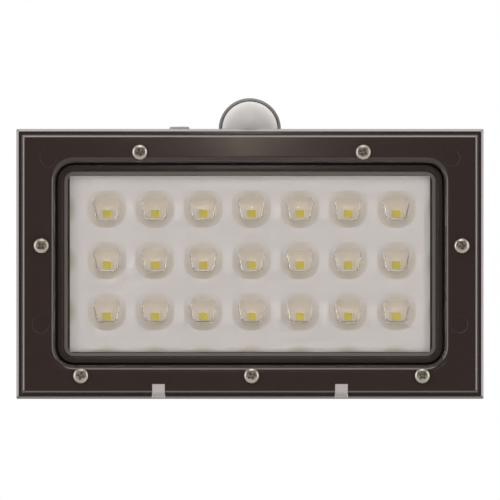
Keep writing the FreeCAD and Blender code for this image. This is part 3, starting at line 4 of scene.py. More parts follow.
import bmesh
import bpy
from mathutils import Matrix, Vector

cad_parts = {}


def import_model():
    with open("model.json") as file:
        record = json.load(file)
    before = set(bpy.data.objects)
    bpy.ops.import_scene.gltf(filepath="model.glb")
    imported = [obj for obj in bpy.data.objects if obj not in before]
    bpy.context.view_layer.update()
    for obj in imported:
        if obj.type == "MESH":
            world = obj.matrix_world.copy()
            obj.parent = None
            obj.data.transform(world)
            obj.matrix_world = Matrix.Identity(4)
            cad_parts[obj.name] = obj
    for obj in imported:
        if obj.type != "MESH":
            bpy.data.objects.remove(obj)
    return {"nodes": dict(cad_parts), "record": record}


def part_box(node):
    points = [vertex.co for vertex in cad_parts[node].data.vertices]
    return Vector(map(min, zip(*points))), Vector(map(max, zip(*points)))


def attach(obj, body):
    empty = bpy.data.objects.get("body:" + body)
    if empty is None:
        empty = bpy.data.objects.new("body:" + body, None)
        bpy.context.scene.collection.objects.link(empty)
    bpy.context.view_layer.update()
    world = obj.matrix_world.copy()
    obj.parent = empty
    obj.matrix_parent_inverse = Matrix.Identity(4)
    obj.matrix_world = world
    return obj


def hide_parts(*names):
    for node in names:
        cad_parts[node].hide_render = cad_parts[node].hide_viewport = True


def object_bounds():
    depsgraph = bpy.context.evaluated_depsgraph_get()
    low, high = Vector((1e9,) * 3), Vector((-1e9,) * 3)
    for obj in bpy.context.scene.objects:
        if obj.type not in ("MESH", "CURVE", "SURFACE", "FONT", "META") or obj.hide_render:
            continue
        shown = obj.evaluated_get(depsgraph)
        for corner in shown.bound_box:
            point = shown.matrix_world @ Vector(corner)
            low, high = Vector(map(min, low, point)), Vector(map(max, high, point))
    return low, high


# Motion sensor security light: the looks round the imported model, in metres.
# The lamp face looks along -Y and +Z is up.

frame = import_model()
cad_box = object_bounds()

MM = 0.001
HEAD = "lamp_head"


# ------------------------------------------------------------------ places

lens_low, lens_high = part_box("lens_plate")
seal_low, seal_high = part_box("lens_seal")
chips_low, chips_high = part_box("led_chips")
bezel_low, bezel_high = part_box("front_bezel")
screws_low, screws_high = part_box("bezel_screws")

CENTRE_Z = (bezel_low.z + bezel_high.z) / 2
FACE_Y = bezel_low.y

OPTIC_COLUMNS = 7
OPTIC_ROWS = 3
CHIP_SIZE = 3.5 * MM
PITCH_X = (chips_high.x - chips_low.x - CHIP_SIZE) / (OPTIC_COLUMNS - 1)
PITCH_Z = (chips_high.z - chips_low.z - CHIP_SIZE) / (OPTIC_ROWS - 1)
ARRAY_X = (chips_low.x + chips_high.x) / 2
ARRAY_Z = (chips_low.z + chips_high.z) / 2

SEAL_WIDTH = 1.3 * MM
PANEL_GAP_X = 0.8 * MM
PANEL_GAP_Z = 0.3 * MM
PANEL_HALF_X = seal_high.x - SEAL_WIDTH - PANEL_GAP_X
PANEL_HALF_Z = (seal_high.z - seal_low.z) / 2 - SEAL_WIDTH - PANEL_GAP_Z


def chip_places():
    """Middle of each chip, as X and Z."""
    places = []
    for row in range(OPTIC_ROWS):
        for column in range(OPTIC_COLUMNS):
            x = ARRAY_X + (column - (OPTIC_COLUMNS - 1) / 2) * PITCH_X
            z = ARRAY_Z + (row - (OPTIC_ROWS - 1) / 2) * PITCH_Z
            places.append((x, z))
    return places


# ------------------------------------------------------------------ meshes

SHARP_DEGREES = 35.0


def make_object(name, mesh):
    piece = bpy.data.objects.new(name, mesh)
    bpy.context.scene.collection.objects.link(piece)
    return piece


def finish_mesh(name, work):
    """Turns the bmesh into an object, smooth except at its sharp edges."""
    bmesh.ops.recalc_face_normals(work, faces=work.faces)
    mesh = bpy.data.meshes.new(name)
    work.to_mesh(mesh)
    work.free()
    smooth_by_angle(mesh, SHARP_DEGREES)
    return make_object(name, mesh)


def smooth_by_angle(mesh, sharp_degrees):
    mesh.polygons.foreach_set("use_smooth", [True] * len(mesh.polygons))
    mesh.set_sharp_from_angle(angle=math.radians(sharp_degrees))


def add_ring(work, points):
    return [work.verts.new(point) for point in points]


def join_rings(work, first, second):
    count = len(first)
    for i in range(count):
        j = (i + 1) % count
        work.faces.new((first[i], first[j], second[j], second[i]))


def closed_stack(work, rings):
    """A closed solid through rings of points, capped at both ends."""
    loops = [add_ring(work, ring) for ring in rings]
    for first, second in zip(loops, loops[1:]):
        join_rings(work, first, second)
    work.faces.new(loops[0])
    work.faces.new(list(reversed(loops[-1])))


def disc_outline(discs, count):
    """Points on the tight outline round discs (x, z, radius)."""
    points = []
    for i in range(count):
        angle = 2 * math.pi * (i + 0.5) / count
        nx = math.cos(angle)
        nz = math.sin(angle)
        x, z, radius = max(discs, key=lambda d: d[0] * nx + d[1] * nz + d[2])
        points.append((x + radius * nx, z + radius * nz))
    return points


def corner_discs(half_x, half_z, radius):
    return [(sx * (half_x - radius), sz * (half_z - radius), radius)
            for sx in (-1, 1) for sz in (-1, 1)]


def boolean(piece, tool, operation):
    """Applies the boolean to the piece and removes the tool."""
    modifier = piece.modifiers.new(operation.lower(), "BOOLEAN")
    modifier.object = tool
    modifier.operation = operation
    modifier.solver = "EXACT"
    depsgraph = bpy.context.evaluated_depsgraph_get()
    mesh = bpy.data.meshes.new_from_object(piece.evaluated_get(depsgraph))
    piece.modifiers.clear()
    piece.data = mesh
    bpy.data.objects.remove(tool)


# ------------------------------------------------------------------ node groups

NOISE_LOW = 0.3
NOISE_HIGH = 0.7
BUMP_DISTANCE = 0.02 * MM
DUST_COLOUR = (0.55, 0.52, 0.48, 1)
DUST_SCALE = 260.0
DUST_RADIUS = 0.035


def new_group(name, inputs, outputs):
    group = bpy.data.node_groups.new(name, "ShaderNodeTree")
    for socket_name, kind, value in inputs:
        socket = group.interface.new_socket(socket_name, in_out="INPUT", socket_type=kind)
        socket.default_value = value
    for socket_name, kind in outputs:
        group.interface.new_socket(socket_name, in_out="OUTPUT", socket_type=kind)
    entry = group.nodes.new("NodeGroupInput")
    leave = group.nodes.new("NodeGroupOutput")
    return group, entry, leave


def add_node(tree, kind, **settings):
    node = tree.nodes.new(kind)
    for key, value in settings.items():
        setattr(node, key, value)
    return node


def noise(tree, coordinates, scale, detail):
    node = add_node(tree, "ShaderNodeTexNoise")
    node.inputs["Detail"].default_value = detail
    link_or_set(tree, scale, node.inputs["Scale"])
    tree.links.new(coordinates, node.inputs["Vector"])
    return node.outputs["Fac"]


def link_or_set(tree, value, socket):
    if isinstance(value, (int, float, tuple)):
        socket.default_value = value
    else:
        tree.links.new(value, socket)


def math_node(tree, operation, first, second=0.0, clamp=False):
    node = add_node(tree, "ShaderNodeMath", operation=operation, use_clamp=clamp)
    link_or_set(tree, first, node.inputs[0])
    link_or_set(tree, second, node.inputs[1])
    return node.outputs[0]


def mix_colours(tree, factor, first, second, blend="MIX"):
    node = add_node(tree, "ShaderNodeMix", data_type="RGBA", blend_type=blend)
    link_or_set(tree, factor, node.inputs[0])
    link_or_set(tree, first, node.inputs[6])
    link_or_set(tree, second, node.inputs[7])
    return node.outputs[2]


def map_range(tree, value, low, high, to_low, to_high):
    node = add_node(tree, "ShaderNodeMapRange")
    link_or_set(tree, value, node.inputs["Value"])
    link_or_set(tree, low, node.inputs["From Min"])
    link_or_set(tree, high, node.inputs["From Max"])
    link_or_set(tree, to_low, node.inputs["To Min"])
    link_or_set(tree, to_high, node.inputs["To Max"])
    return node.outputs["Result"]


def spread_noise(tree, value, low, high):
    """Stretches the middle of a noise between two values."""
    return map_range(tree, value, NOISE_LOW, NOISE_HIGH, low, high)


def add_bump(tree, strength, height):
    bump = add_node(tree, "ShaderNodeBump")
    bump.inputs["Distance"].default_value = BUMP_DISTANCE
    tree.links.new(strength, bump.inputs["Strength"])
    tree.links.new(height, bump.inputs["Height"])
    return bump.outputs["Normal"]


def object_coordinates(tree):
    return add_node(tree, "ShaderNodeTexCoord").outputs["Object"]


def object_axes(tree):
    """The object coordinates as separate X, Y and Z outputs."""
    axes = add_node(tree, "ShaderNodeSeparateXYZ")
    tree.links.new(object_coordinates(tree), axes.inputs[0])
    return axes.outputs


def moulded_skin_group():
    """Fine moulded grain, faint cloudiness and a few dust specks."""
    group, entry, leave = new_group("moulded_skin", [
        ("Colour", "NodeSocketColor", (0.5, 0.5, 0.5, 1)),
        ("Cloud", "NodeSocketFloat", 0.1),
        ("Gloss Low", "NodeSocketFloat", 0.2),
        ("Gloss High", "NodeSocketFloat", 0.3),
        ("Grain Scale", "NodeSocketFloat", 3000.0),
        ("Grain Depth", "NodeSocketFloat", 0.05),
        ("Dust", "NodeSocketFloat", 0.1),
    ], [
        ("Colour", "NodeSocketColor"),
        ("Roughness", "NodeSocketFloat"),
        ("Normal", "NodeSocketVector"),
    ])
    where = object_coordinates(group)
    cloud = noise(group, where, 40.0, 3.0)
    fine = noise(group, where, entry.outputs["Grain Scale"], 2.0)
    darker = mix_colours(group, 1.0, entry.outputs["Colour"], (0.55, 0.52, 0.5, 1), "MULTIPLY")
    amount = math_node(group, "MULTIPLY", cloud, entry.outputs["Cloud"], clamp=True)
    base = mix_colours(group, amount, entry.outputs["Colour"], darker)
    specks = add_node(group, "ShaderNodeTexVoronoi")
    specks.inputs["Scale"].default_value = DUST_SCALE
    group.links.new(where, specks.inputs["Vector"])
    speck = math_node(group, "LESS_THAN", specks.outputs["Distance"], DUST_RADIUS)
    speck = math_node(group, "MULTIPLY", speck, entry.outputs["Dust"])
    dusty = mix_colours(group, speck, base, DUST_COLOUR)
    group.links.new(dusty, leave.inputs["Colour"])
    gloss = spread_noise(group, cloud, entry.outputs["Gloss Low"], entry.outputs["Gloss High"])
    group.links.new(gloss, leave.inputs["Roughness"])
    normal = add_bump(group, entry.outputs["Grain Depth"], fine)
    group.links.new(normal, leave.inputs["Normal"])
    return group


def worked_metal_group():
    """Turning or rolling marks with smudges."""
    group, entry, leave = new_group("worked_metal", [
        ("Colour", "NodeSocketColor", (0.7, 0.7, 0.7, 1)),
        ("Smudge", "NodeSocketFloat", 0.3),
        ("Gloss Low", "NodeSocketFloat", 0.15),
        ("Gloss High", "NodeSocketFloat", 0.4),
        ("Mark Scale", "NodeSocketFloat", 2500.0),
        ("Mark Depth", "NodeSocketFloat", 0.1),
    ], [
        ("Colour", "NodeSocketColor"),
        ("Roughness", "NodeSocketFloat"),
        ("Normal", "NodeSocketVector"),
    ])
    where = object_coordinates(group)
    stretch = add_node(group, "ShaderNodeMapping")
    stretch.inputs["Scale"].default_value = (0.05, 1.0, 1.0)
    group.links.new(where, stretch.inputs["Vector"])
    marks = noise(group, stretch.outputs["Vector"], entry.outputs["Mark Scale"], 2.0)
    smudge = noise(group, where, 300.0, 4.0)
    dark = mix_colours(group, 1.0, entry.outputs["Colour"], (0.5, 0.47, 0.42, 1), "MULTIPLY")
    amount = math_node(group, "MULTIPLY", smudge, entry.outputs["Smudge"], clamp=True)
    group.links.new(mix_colours(group, amount, entry.outputs["Colour"], dark),
                    leave.inputs["Colour"])
    gloss = spread_noise(group, smudge, entry.outputs["Gloss Low"], entry.outputs["Gloss High"])
    group.links.new(gloss, leave.inputs["Roughness"])
    normal = add_bump(group, entry.outputs["Mark Depth"], marks)
    group.links.new(normal, leave.inputs["Normal"])
    return group


def ruled_lines_group():
    """A mask of thin straight lines, spaced evenly along one coordinate."""
    group, entry, leave = new_group("ruled_lines", [
        ("Along", "NodeSocketFloat", 0.0),
        ("Pitch", "NodeSocketFloat", 2.0 * MM),
        ("Width", "NodeSocketFloat", 0.2 * MM),
    ], [("Mask", "NodeSocketFloat")])
    share = math_node(group, "DIVIDE", entry.outputs["Along"], entry.outputs["Pitch"])
    away = math_node(group, "PINGPONG", share, 0.5)
    span = math_node(group, "DIVIDE", entry.outputs["Width"], entry.outputs["Pitch"])
    half = math_node(group, "MULTIPLY", span, 0.5)
    group.links.new(math_node(group, "LESS_THAN", away, half), leave.inputs["Mask"])
    return group


def painted_glow_group():
    """A soft mask round the nearest chip of the grid, for painted glow: the chip's light painted
    on the board.
    """
    group, entry, leave = new_group("painted_chip_glow", [
        ("Pitch X", "NodeSocketFloat", PITCH_X),
        ("Pitch Z", "NodeSocketFloat", PITCH_Z),
        ("Middle X", "NodeSocketFloat", ARRAY_X),
        ("Middle Z", "NodeSocketFloat", ARRAY_Z),
        ("Rise", "NodeSocketFloat", 1.6 * MM),
        ("Inner", "NodeSocketFloat", 4.5 * MM),
        ("Outer", "NodeSocketFloat", 7.5 * MM),
    ], [("Mask", "NodeSocketFloat")])
    axes = object_axes(group)
    squares = []
    across = math_node(group, "SUBTRACT", axes["X"], entry.outputs["Middle X"])
    raised = math_node(group, "SUBTRACT", axes["Z"], entry.outputs["Middle Z"])
    raised = math_node(group, "SUBTRACT", raised, entry.outputs["Rise"])
    for along, pitch in ((across, "Pitch X"), (raised, "Pitch Z")):
        share = math_node(group, "DIVIDE", along, entry.outputs[pitch])
        nearest = math_node(group, "ROUND", share)
        left = math_node(group, "SUBTRACT", share, nearest)
        away = math_node(group, "MULTIPLY", left, entry.outputs[pitch])
        squares.append(math_node(group, "MULTIPLY", away, away))
    distance = math_node(group, "SQRT", math_node(group, "ADD", squares[0], squares[1]))
    mask = map_range(group, distance, entry.outputs["Inner"], entry.outputs["Outer"], 1.0, 0.0)
    group.links.new(mask, leave.inputs["Mask"])
    return group


GROUPS = {
    "moulded_skin": moulded_skin_group(),
    "worked_metal": worked_metal_group(),
    "ruled_lines": ruled_lines_group(),
    "painted_chip_glow": painted_glow_group(),
}


def use_group(tree, name, values):
    node = tree.nodes.new("ShaderNodeGroup")
    node.node_tree = GROUPS[name]
    for key, value in values.items():
        link_or_set(tree, value, node.inputs[key])
    return node


# ------------------------------------------------------------------ materials

BROWN = (0.023, 0.0135, 0.0115)
BOARD_WHITE = (0.82, 0.79, 0.78, 1)
BOARD_SHADE = (0.78, 0.75, 0.735, 1)
# Painted glow: a warm tint painted on the board round each chip, standing in for the phosphor's
# light.
BOARD_PAINTED_GLOW = (0.58, 0.50, 0.38, 1)
BOARD_PAINTED_GLOW_STRENGTH = 0.75
# Painted shade: near black on the board in the gap between the clear panel and the seal.
BOARD_PAINTED_GAP_SHADE = (0.03, 0.024, 0.022, 1)
PHOSPHOR = (0.56, 0.465, 0.095, 1)
PHOSPHOR_SHADE = (0.48, 0.41, 0.07, 1)
LENS_IOR = 1.22
GLASS_IOR = 1.5


def new_material(name, **constants):
    """A material with its Principled shader; constants go on the shader's own sockets."""
    material = bpy.data.materials.new(name)
    material.use_nodes = True
    tree = material.node_tree
    shader = tree.nodes["Principled BSDF"]
    for key, value in constants.items():
        shader.inputs[key.replace("_", " ")].default_value = value
    return material, tree, shader


def connect_surface(tree, group, shader):
    tree.links.new(group.outputs["Colour"], shader.inputs["Base Color"])
    tree.links.new(group.outputs["Roughness"], shader.inputs["Roughness"])
    tree.links.new(group.outputs["Normal"], shader.inputs["Normal"])


def moulded(name, colour, gloss, grain=0.05, grain_scale=3000.0, cloud=0.15, dust=0.0):
    material, tree, shader = new_material(name)
    group = use_group(tree, "moulded_skin", {
        "Colour": (*colour, 1.0),
        "Cloud": cloud,
        "Gloss Low": gloss[0],
        "Gloss High": gloss[1],
        "Grain Scale": grain_scale,
        "Grain Depth": grain,
        "Dust": dust,
    })
    connect_surface(tree, group, shader)
    return material


def metal(name, colour, gloss, smudge=0.3):
    material, tree, shader = new_material(name, Metallic=1.0)
    group = use_group(tree, "worked_metal", {
        "Colour": (*colour, 1.0),
        "Smudge": smudge,
        "Gloss Low": gloss[0],
        "Gloss High": gloss[1],
    })
    connect_surface(tree, group, shader)
    return material


def clear_plastic(name, colour, roughness, ior):
    material, tree, shader = new_material(name, IOR=ior, Transmission_Weight=1.0)
    shader.inputs["Base Color"].default_value = (*colour, 1.0)
    flow = noise(tree, object_coordinates(tree), 60.0, 1.0)
    tree.links.new(spread_noise(tree, flow, *roughness), shader.inputs["Roughness"])
    return material


def painted_gap_shade_mask(tree):
    """A mask of the board outside the clear panel, for painted shade in the gap between the panel
    and the seal.
    """
    axes = object_axes(tree)
    across = math_node(tree, "ABSOLUTE", axes["X"])
    across = math_node(tree, "SUBTRACT", across, PANEL_HALF_X)
    up = math_node(tree, "SUBTRACT", axes["Z"], CENTRE_Z)
    up = math_node(tree, "SUBTRACT", math_node(tree, "ABSOLUTE", up), PANEL_HALF_Z)
    outside = math_node(tree, "MAXIMUM", across, up)
    return map_range(tree, outside, -0.05 * MM, 0.1 * MM, 0.0, 1.0)


def led_board_material():
    """White solder mask, with painted glow: a warm tint painted round each chip where the
    phosphor's light would fall on it.
    """
    material, tree, shader = new_material("led_board_white", Specular_IOR_Level=0.3)
    where = object_coordinates(tree)
    # Painted glow: this mask warms the board round each chip.
    painted_glow_mask = use_group(tree, "painted_chip_glow", {}).outputs["Mask"]
    cloud = noise(tree, where, 120.0, 2.0)
    plain = mix_colours(tree, cloud, BOARD_WHITE, BOARD_SHADE)
    board_with_painted_glow = mix_colours(tree, math_node(tree, "MULTIPLY", painted_glow_mask, BOARD_PAINTED_GLOW_STRENGTH), plain, BOARD_PAINTED_GLOW)
    # Painted shade darkens the board in the gap round the clear panel.
    colour = mix_colours(tree, painted_gap_shade_mask(tree), board_with_painted_glow, BOARD_PAINTED_GAP_SHADE)
    tree.links.new(colour, shader.inputs["Base Color"])
    tree.links.new(spread_noise(tree, cloud, 0.45, 0.6), shader.inputs["Roughness"])
    return material


def phosphor_material():
    material, tree, shader = new_material("chip_phosphor", Specular_IOR_Level=0.4)
    grains = noise(tree, object_coordinates(tree), 4000.0, 2.0)
    colour = mix_colours(tree, grains, PHOSPHOR, PHOSPHOR_SHADE)
    tree.links.new(colour, shader.inputs["Base Color"])
    tree.links.new(spread_noise(tree, grains, 0.35, 0.5), shader.inputs["Roughness"])
    return material


def circuit_board_material(name, mask_colour, copper_colour):
    """Solder mask over copper tracks that show as slightly lighter lines."""
    material, tree, shader = new_material(name, Coat_Weight=0.3, Coat_Roughness=0.2)
    axes = object_axes(tree)
    across = use_group(tree, "ruled_lines", {
        "Along": axes["X"], "Pitch": 3.1 * MM, "Width": 0.5 * MM})
    along = use_group(tree, "ruled_lines", {
        "Along": axes["Z"], "Pitch": 4.3 * MM, "Width": 0.4 * MM})
    tracks = math_node(tree, "MAXIMUM", across.outputs["Mask"], along.outputs["Mask"])
    grains = noise(tree, object_coordinates(tree), 900.0, 2.0)
    mask = mix_colours(tree, grains, (*mask_colour, 1), tuple(c * 0.8 for c in mask_colour) + (1,))
    colour = mix_colours(tree, math_node(tree, "MULTIPLY", tracks, 0.6), mask,
                         (*copper_colour, 1))
    tree.links.new(colour, shader.inputs["Base Color"])
    tree.links.new(spread_noise(tree, grains, 0.3, 0.45), shader.inputs["Roughness"])
    return material


def solar_cell_material():
    """Dark blue silicon with fine silver fingers across and bus bars along."""
    material, tree, shader = new_material("solar_silicon", Coat_Weight=0.6, Coat_Roughness=0.08)
    axes = object_axes(tree)
    fingers = use_group(tree, "ruled_lines", {
        "Along": axes["Z"], "Pitch": 1.9 * MM, "Width": 0.12 * MM})
    bars = use_group(tree, "ruled_lines", {
        "Along": axes["X"], "Pitch": 7.85 * MM, "Width": 0.9 * MM})
    flakes = add_node(tree, "ShaderNodeTexVoronoi")
    flakes.inputs["Scale"].default_value = 220.0
    tree.links.new(object_coordinates(tree), flakes.inputs["Vector"])
    silicon = mix_colours(tree, flakes.outputs["Color"], (0.006, 0.010, 0.035, 1),
                          (0.016, 0.026, 0.075, 1))
    lines = math_node(tree, "MAXIMUM", fingers.outputs["Mask"], bars.outputs["Mask"])
    colour = mix_colours(tree, math_node(tree, "MULTIPLY", lines, 0.8), silicon,
                         (0.55, 0.56, 0.58, 1))
    tree.links.new(colour, shader.inputs["Base Color"])
    tree.links.new(map_range(tree, lines, 0.0, 1.0, 0.25, 0.4), shader.inputs["Roughness"])
    return material


def cell_wrap_material():
    """Shrink wrap over a steel cell, with a paler ring near each end."""
    material, tree, shader = new_material("cell_wrap", Coat_Weight=0.4, Coat_Roughness=0.15)
    axes = object_axes(tree)
    seam = use_group(tree, "ruled_lines", {
        "Along": axes["X"], "Pitch": 32.5 * MM, "Width": 0.8 * MM})
    folds = noise(tree, object_coordinates(tree), 500.0, 3.0)
    wrap = mix_colours(tree, folds, (0.05, 0.20, 0.42, 1), (0.035, 0.15, 0.33, 1))
    colour = mix_colours(tree, math_node(tree, "MULTIPLY", seam.outputs["Mask"], 0.5), wrap,
                         (0.5, 0.55, 0.6, 1))
    tree.links.new(colour, shader.inputs["Base Color"])
    tree.links.new(spread_noise(tree, folds, 0.2, 0.35), shader.inputs["Roughness"])
    return material


MATERIALS = {
    "bezel_brown": moulded("bezel_brown", BROWN, (0.13, 0.19), grain=0.04, dust=0.05),
    "housing_brown": moulded("housing_brown", BROWN, (0.28, 0.38), grain=0.35,
                             grain_scale=1800.0, dust=0.05),
    "bracket_grey": moulded("bracket_grey", (0.50, 0.496, 0.488), (0.35, 0.5), grain=0.3,
                            grain_scale=1500.0),
    "clip_grey": moulded("clip_grey", (0.40, 0.375, 0.37), (0.3, 0.42), grain=0.15),
    "hood_grey": moulded("hood_grey", (0.27, 0.265, 0.26), (0.3, 0.42), grain=0.15),
    "button_grey": moulded("button_grey", (0.40, 0.40, 0.395), (0.45, 0.6), grain=0.3),
    "screw_steel": metal("screw_steel", (0.43, 0.405, 0.355), (0.22, 0.42), smudge=0.7),
    "brass": metal("brass", (0.72, 0.52, 0.22), (0.25, 0.4)),
    "bush_white": moulded("bush_white", (0.78, 0.77, 0.73), (0.3, 0.4)),
    "lens_clear": clear_plastic("lens_clear", (0.99, 0.985, 0.98), (0.02, 0.06), LENS_IOR),
    "seal_grey": moulded("seal_grey", (0.12, 0.105, 0.096), (0.35, 0.5), grain=0.3),
    "seal_black": moulded("seal_black", (0.02, 0.02, 0.02), (0.5, 0.65), grain=0.4),
    "board_white": led_board_material(),
    "chip_yellow": phosphor_material(),
    "thermal_grey": moulded("thermal_grey", (0.45, 0.46, 0.48), (0.6, 0.75), grain=0.5),
    "heat_aluminium": metal("heat_aluminium", (0.72, 0.73, 0.74), (0.3, 0.45), smudge=0.2),
    "cell_wrap": cell_wrap_material(),
    "tray_black": moulded("tray_black", (0.025, 0.025, 0.026), (0.4, 0.5), grain=0.3),
    "board_green": circuit_board_material("board_green", (0.02, 0.13, 0.05),
                                          (0.08, 0.28, 0.12)),
    "component_dark": moulded("component_dark", (0.05, 0.05, 0.055), (0.35, 0.5)),
    "solar_clear": clear_plastic("solar_clear", (0.97, 0.985, 0.99), (0.0, 0.02), GLASS_IOR),
    "solar_blue": solar_cell_material(),
    "dome_grey": moulded("dome_grey", (0.42, 0.41, 0.40), (0.42, 0.55), grain=0.02,
                         cloud=0.08),
}
PACKAGE_WHITE = moulded("package_white", (0.80, 0.77, 0.70), (0.35, 0.45))
SOLAR_BACKING = moulded("solar_backing_white", (0.70, 0.71, 0.72), (0.4, 0.5))


def dress(piece, material):
    piece.data.materials.clear()
    piece.data.materials.append(material)
    return piece


def dress_frame():
    """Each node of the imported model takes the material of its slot."""
    for part in frame["record"]["subparts"]:
        dress(frame["nodes"][part["node"]], MATERIALS[part["material_slot"]])
    dress(frame["nodes"]["solar_backing"], SOLAR_BACKING)


# ------------------------------------------------------------------ lens plate

OPTIC_HEIGHT = 4.5 * MM
OPTIC_SINK = 0.4 * MM
CAVITY_DEPTH = 3.0 * MM
CAVITY_FLAT = 1.6 * MM
CAVITY_SLOPE = 4.4 * MM
CAVITY_FALL = 0.94
CAVITY_MOUTH_SHARE = 1.03
CAVITY_TIP_SHARE = 0.03
OPTIC_TIP_SHARE = 0.02
OPTIC_MIDDLE = (0.0, 1.6 * MM)
CAVITY_MIDDLE = (0.0, 1.0 * MM)
OUTLINE_POINTS = 72
OPTIC_RINGS = 14
LENS_EDGE = 1.5 * MM
LENS_CORNER = 3.5 * MM
LENS_SHARP_DEGREES = 40.0
PANEL_CORNER = 2.0 * MM
BOARD_GAP = 0.1 * MM

OPTIC_OUTLINE = [
    (-1.1 * MM, 0.9 * MM, 6.4 * MM),
    (1.1 * MM, 0.9 * MM, 6.4 * MM),
    (3.1 * MM, 4.6 * MM, 4.4 * MM),
    (-3.1 * MM, 4.6 * MM, 4.4 * MM),
]
CAVITY_OUTLINE = [
    (-1.9 * MM, -0.1 * MM, 2.1 * MM),
    (1.9 * MM, -0.1 * MM, 2.1 * MM),
    (2.6 * MM, 4.0 * MM, 2.0 * MM),
    (-2.6 * MM, 4.0 * MM, 2.0 * MM),
]


def scaled_ring(outline, middle, share, x, z, y):
    cx, cz = middle
    return [(x + cx + (px - cx) * share, y, z + cz + (pz - cz) * share) for px, pz in outline]


def optic_solid(work, x, z, panel_y):
    """A smooth bump whose outline is a shield: flat on top and round below."""
    outline = disc_outline(OPTIC_OUTLINE, OUTLINE_POINTS)
    rings = [scaled_ring(outline, OPTIC_MIDDLE, 1.0, x, z, panel_y + OPTIC_SINK)]
    for step in range(OPTIC_RINGS):
        turn = (step / OPTIC_RINGS) * math.pi / 2
        share = max(math.cos(turn) ** 0.8, OPTIC_TIP_SHARE)
        height = OPTIC_HEIGHT * math.sin(turn) ** 0.9
        rings.append(scaled_ring(outline, OPTIC_MIDDLE, share, x, z, panel_y - height))
    tip_y = panel_y - OPTIC_HEIGHT
    rings.append(scaled_ring(outline, OPTIC_MIDDLE, OPTIC_TIP_SHARE, x, z, tip_y))
    closed_stack(work, rings)


def cavity_solid(work, x, z, back_y):
    """The air pocket over a chip: steep sides, with a roof that falls away upwards."""
    outline = disc_outline(CAVITY_OUTLINE, OUTLINE_POINTS)
    mouth_y = back_y + OPTIC_SINK
    rings = [scaled_ring(outline, CAVITY_MIDDLE, CAVITY_MOUTH_SHARE, x, z, mouth_y)]
    for step in range(OPTIC_RINGS):
        turn = (step / OPTIC_RINGS) * math.pi / 2
        share = max(math.cos(turn) ** 0.5, CAVITY_TIP_SHARE)
        rise = CAVITY_DEPTH * math.sin(turn) ** 0.8
        ring = []
        for px, y, pz in scaled_ring(outline, CAVITY_MIDDLE, share, x, z, back_y):
            up = min(max((pz - z - CAVITY_FLAT) / CAVITY_SLOPE, 0.0), 1.0)
            ring.append((px, y - rise * (1.0 - CAVITY_FALL * up), pz))
        rings.append(ring)
    closed_stack(work, rings)


def plate_solid(work, half_x, half_z, corner, back_y, front_y):
    outline = disc_outline(corner_discs(half_x, half_z, corner), OUTLINE_POINTS)
    closed_stack(work, [
        [(x, back_y, CENTRE_Z + z) for x, z in outline],
        [(x, front_y, CENTRE_Z + z) for x, z in outline],
    ])


def lens_panel():
    """One clear moulding: a flat panel with 21 optics, each hollow over its chip."""
    back_y = lens_high.y - BOARD_GAP
    panel_y = lens_low.y + OPTIC_HEIGHT
    edge_half_x = lens_high.x
    edge_half_z = (lens_high.z - lens_low.z) / 2
    work = bmesh.new()
    plate_solid(work, edge_half_x, edge_half_z, LENS_CORNER, back_y, back_y - LENS_EDGE)
    piece = finish_mesh("lens_panel", work)
    work = bmesh.new()
    plate_solid(work, PANEL_HALF_X, PANEL_HALF_Z, PANEL_CORNER, back_y - LENS_EDGE / 2,
                panel_y)
    boolean(piece, finish_mesh("panel_tool", work), "UNION")
    work = bmesh.new()
    for x, z in chip_places():
        optic_solid(work, x, z, panel_y)
    boolean(piece, finish_mesh("optic_tool", work), "UNION")
    work = bmesh.new()
    for x, z in chip_places():
        cavity_solid(work, x, z, back_y)
    boolean(piece, finish_mesh("cavity_tool", work), "DIFFERENCE")
    smooth_by_angle(piece.data, LENS_SHARP_DEGREES)
    dress(piece, MATERIALS["lens_clear"])
    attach(piece, HEAD)
    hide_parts("lens_plate")


# ------------------------------------------------------------------ chips

PACKAGE_CORNER_SHARE = 0.12
PACKAGE_POINTS = 16
PACKAGE_CHAMFER = 0.1 * MM
FRAME_SINK = 0.03 * MM
WINDOW_SHARE = 0.94
WINDOW_DEPTH = 0.2 * MM
WINDOW_CHAMFER = 0.02 * MM


def package_rings(x, z, half, back_y, front_y, chamfer):
    """Rings of a square block with rounded corners and a chamfered front."""
    corner = half * PACKAGE_CORNER_SHARE
    rings = []
    for inset, y in ((0.0, back_y), (0.0, front_y + chamfer), (chamfer, front_y)):
        discs = corner_discs(half - inset, half - inset, corner)
        outline = disc_outline(discs, PACKAGE_POINTS)
        rings.append([(x + px, y, z + pz) for px, pz in outline])
    return rings


def led_packages():
    """White frames, each with its yellow phosphor window, in two pieces."""
    half = CHIP_SIZE / 2
    window = half * WINDOW_SHARE
    front_y = chips_low.y
    frames = bmesh.new()
    windows = bmesh.new()
    for x, z in chip_places():
        closed_stack(frames, package_rings(x, z, half, chips_high.y, front_y + FRAME_SINK,
                                           PACKAGE_CHAMFER))
        closed_stack(windows, package_rings(x, z, window, front_y + WINDOW_DEPTH, front_y,
                                            WINDOW_CHAMFER))
    body = dress(finish_mesh("led_package_frames", frames), PACKAGE_WHITE)
    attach(body, HEAD)
    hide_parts("led_chips")
    glow = dress(finish_mesh("led_phosphor_windows", windows), MATERIALS["chip_yellow"])
    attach(glow, HEAD)


# ------------------------------------------------------------------ screws

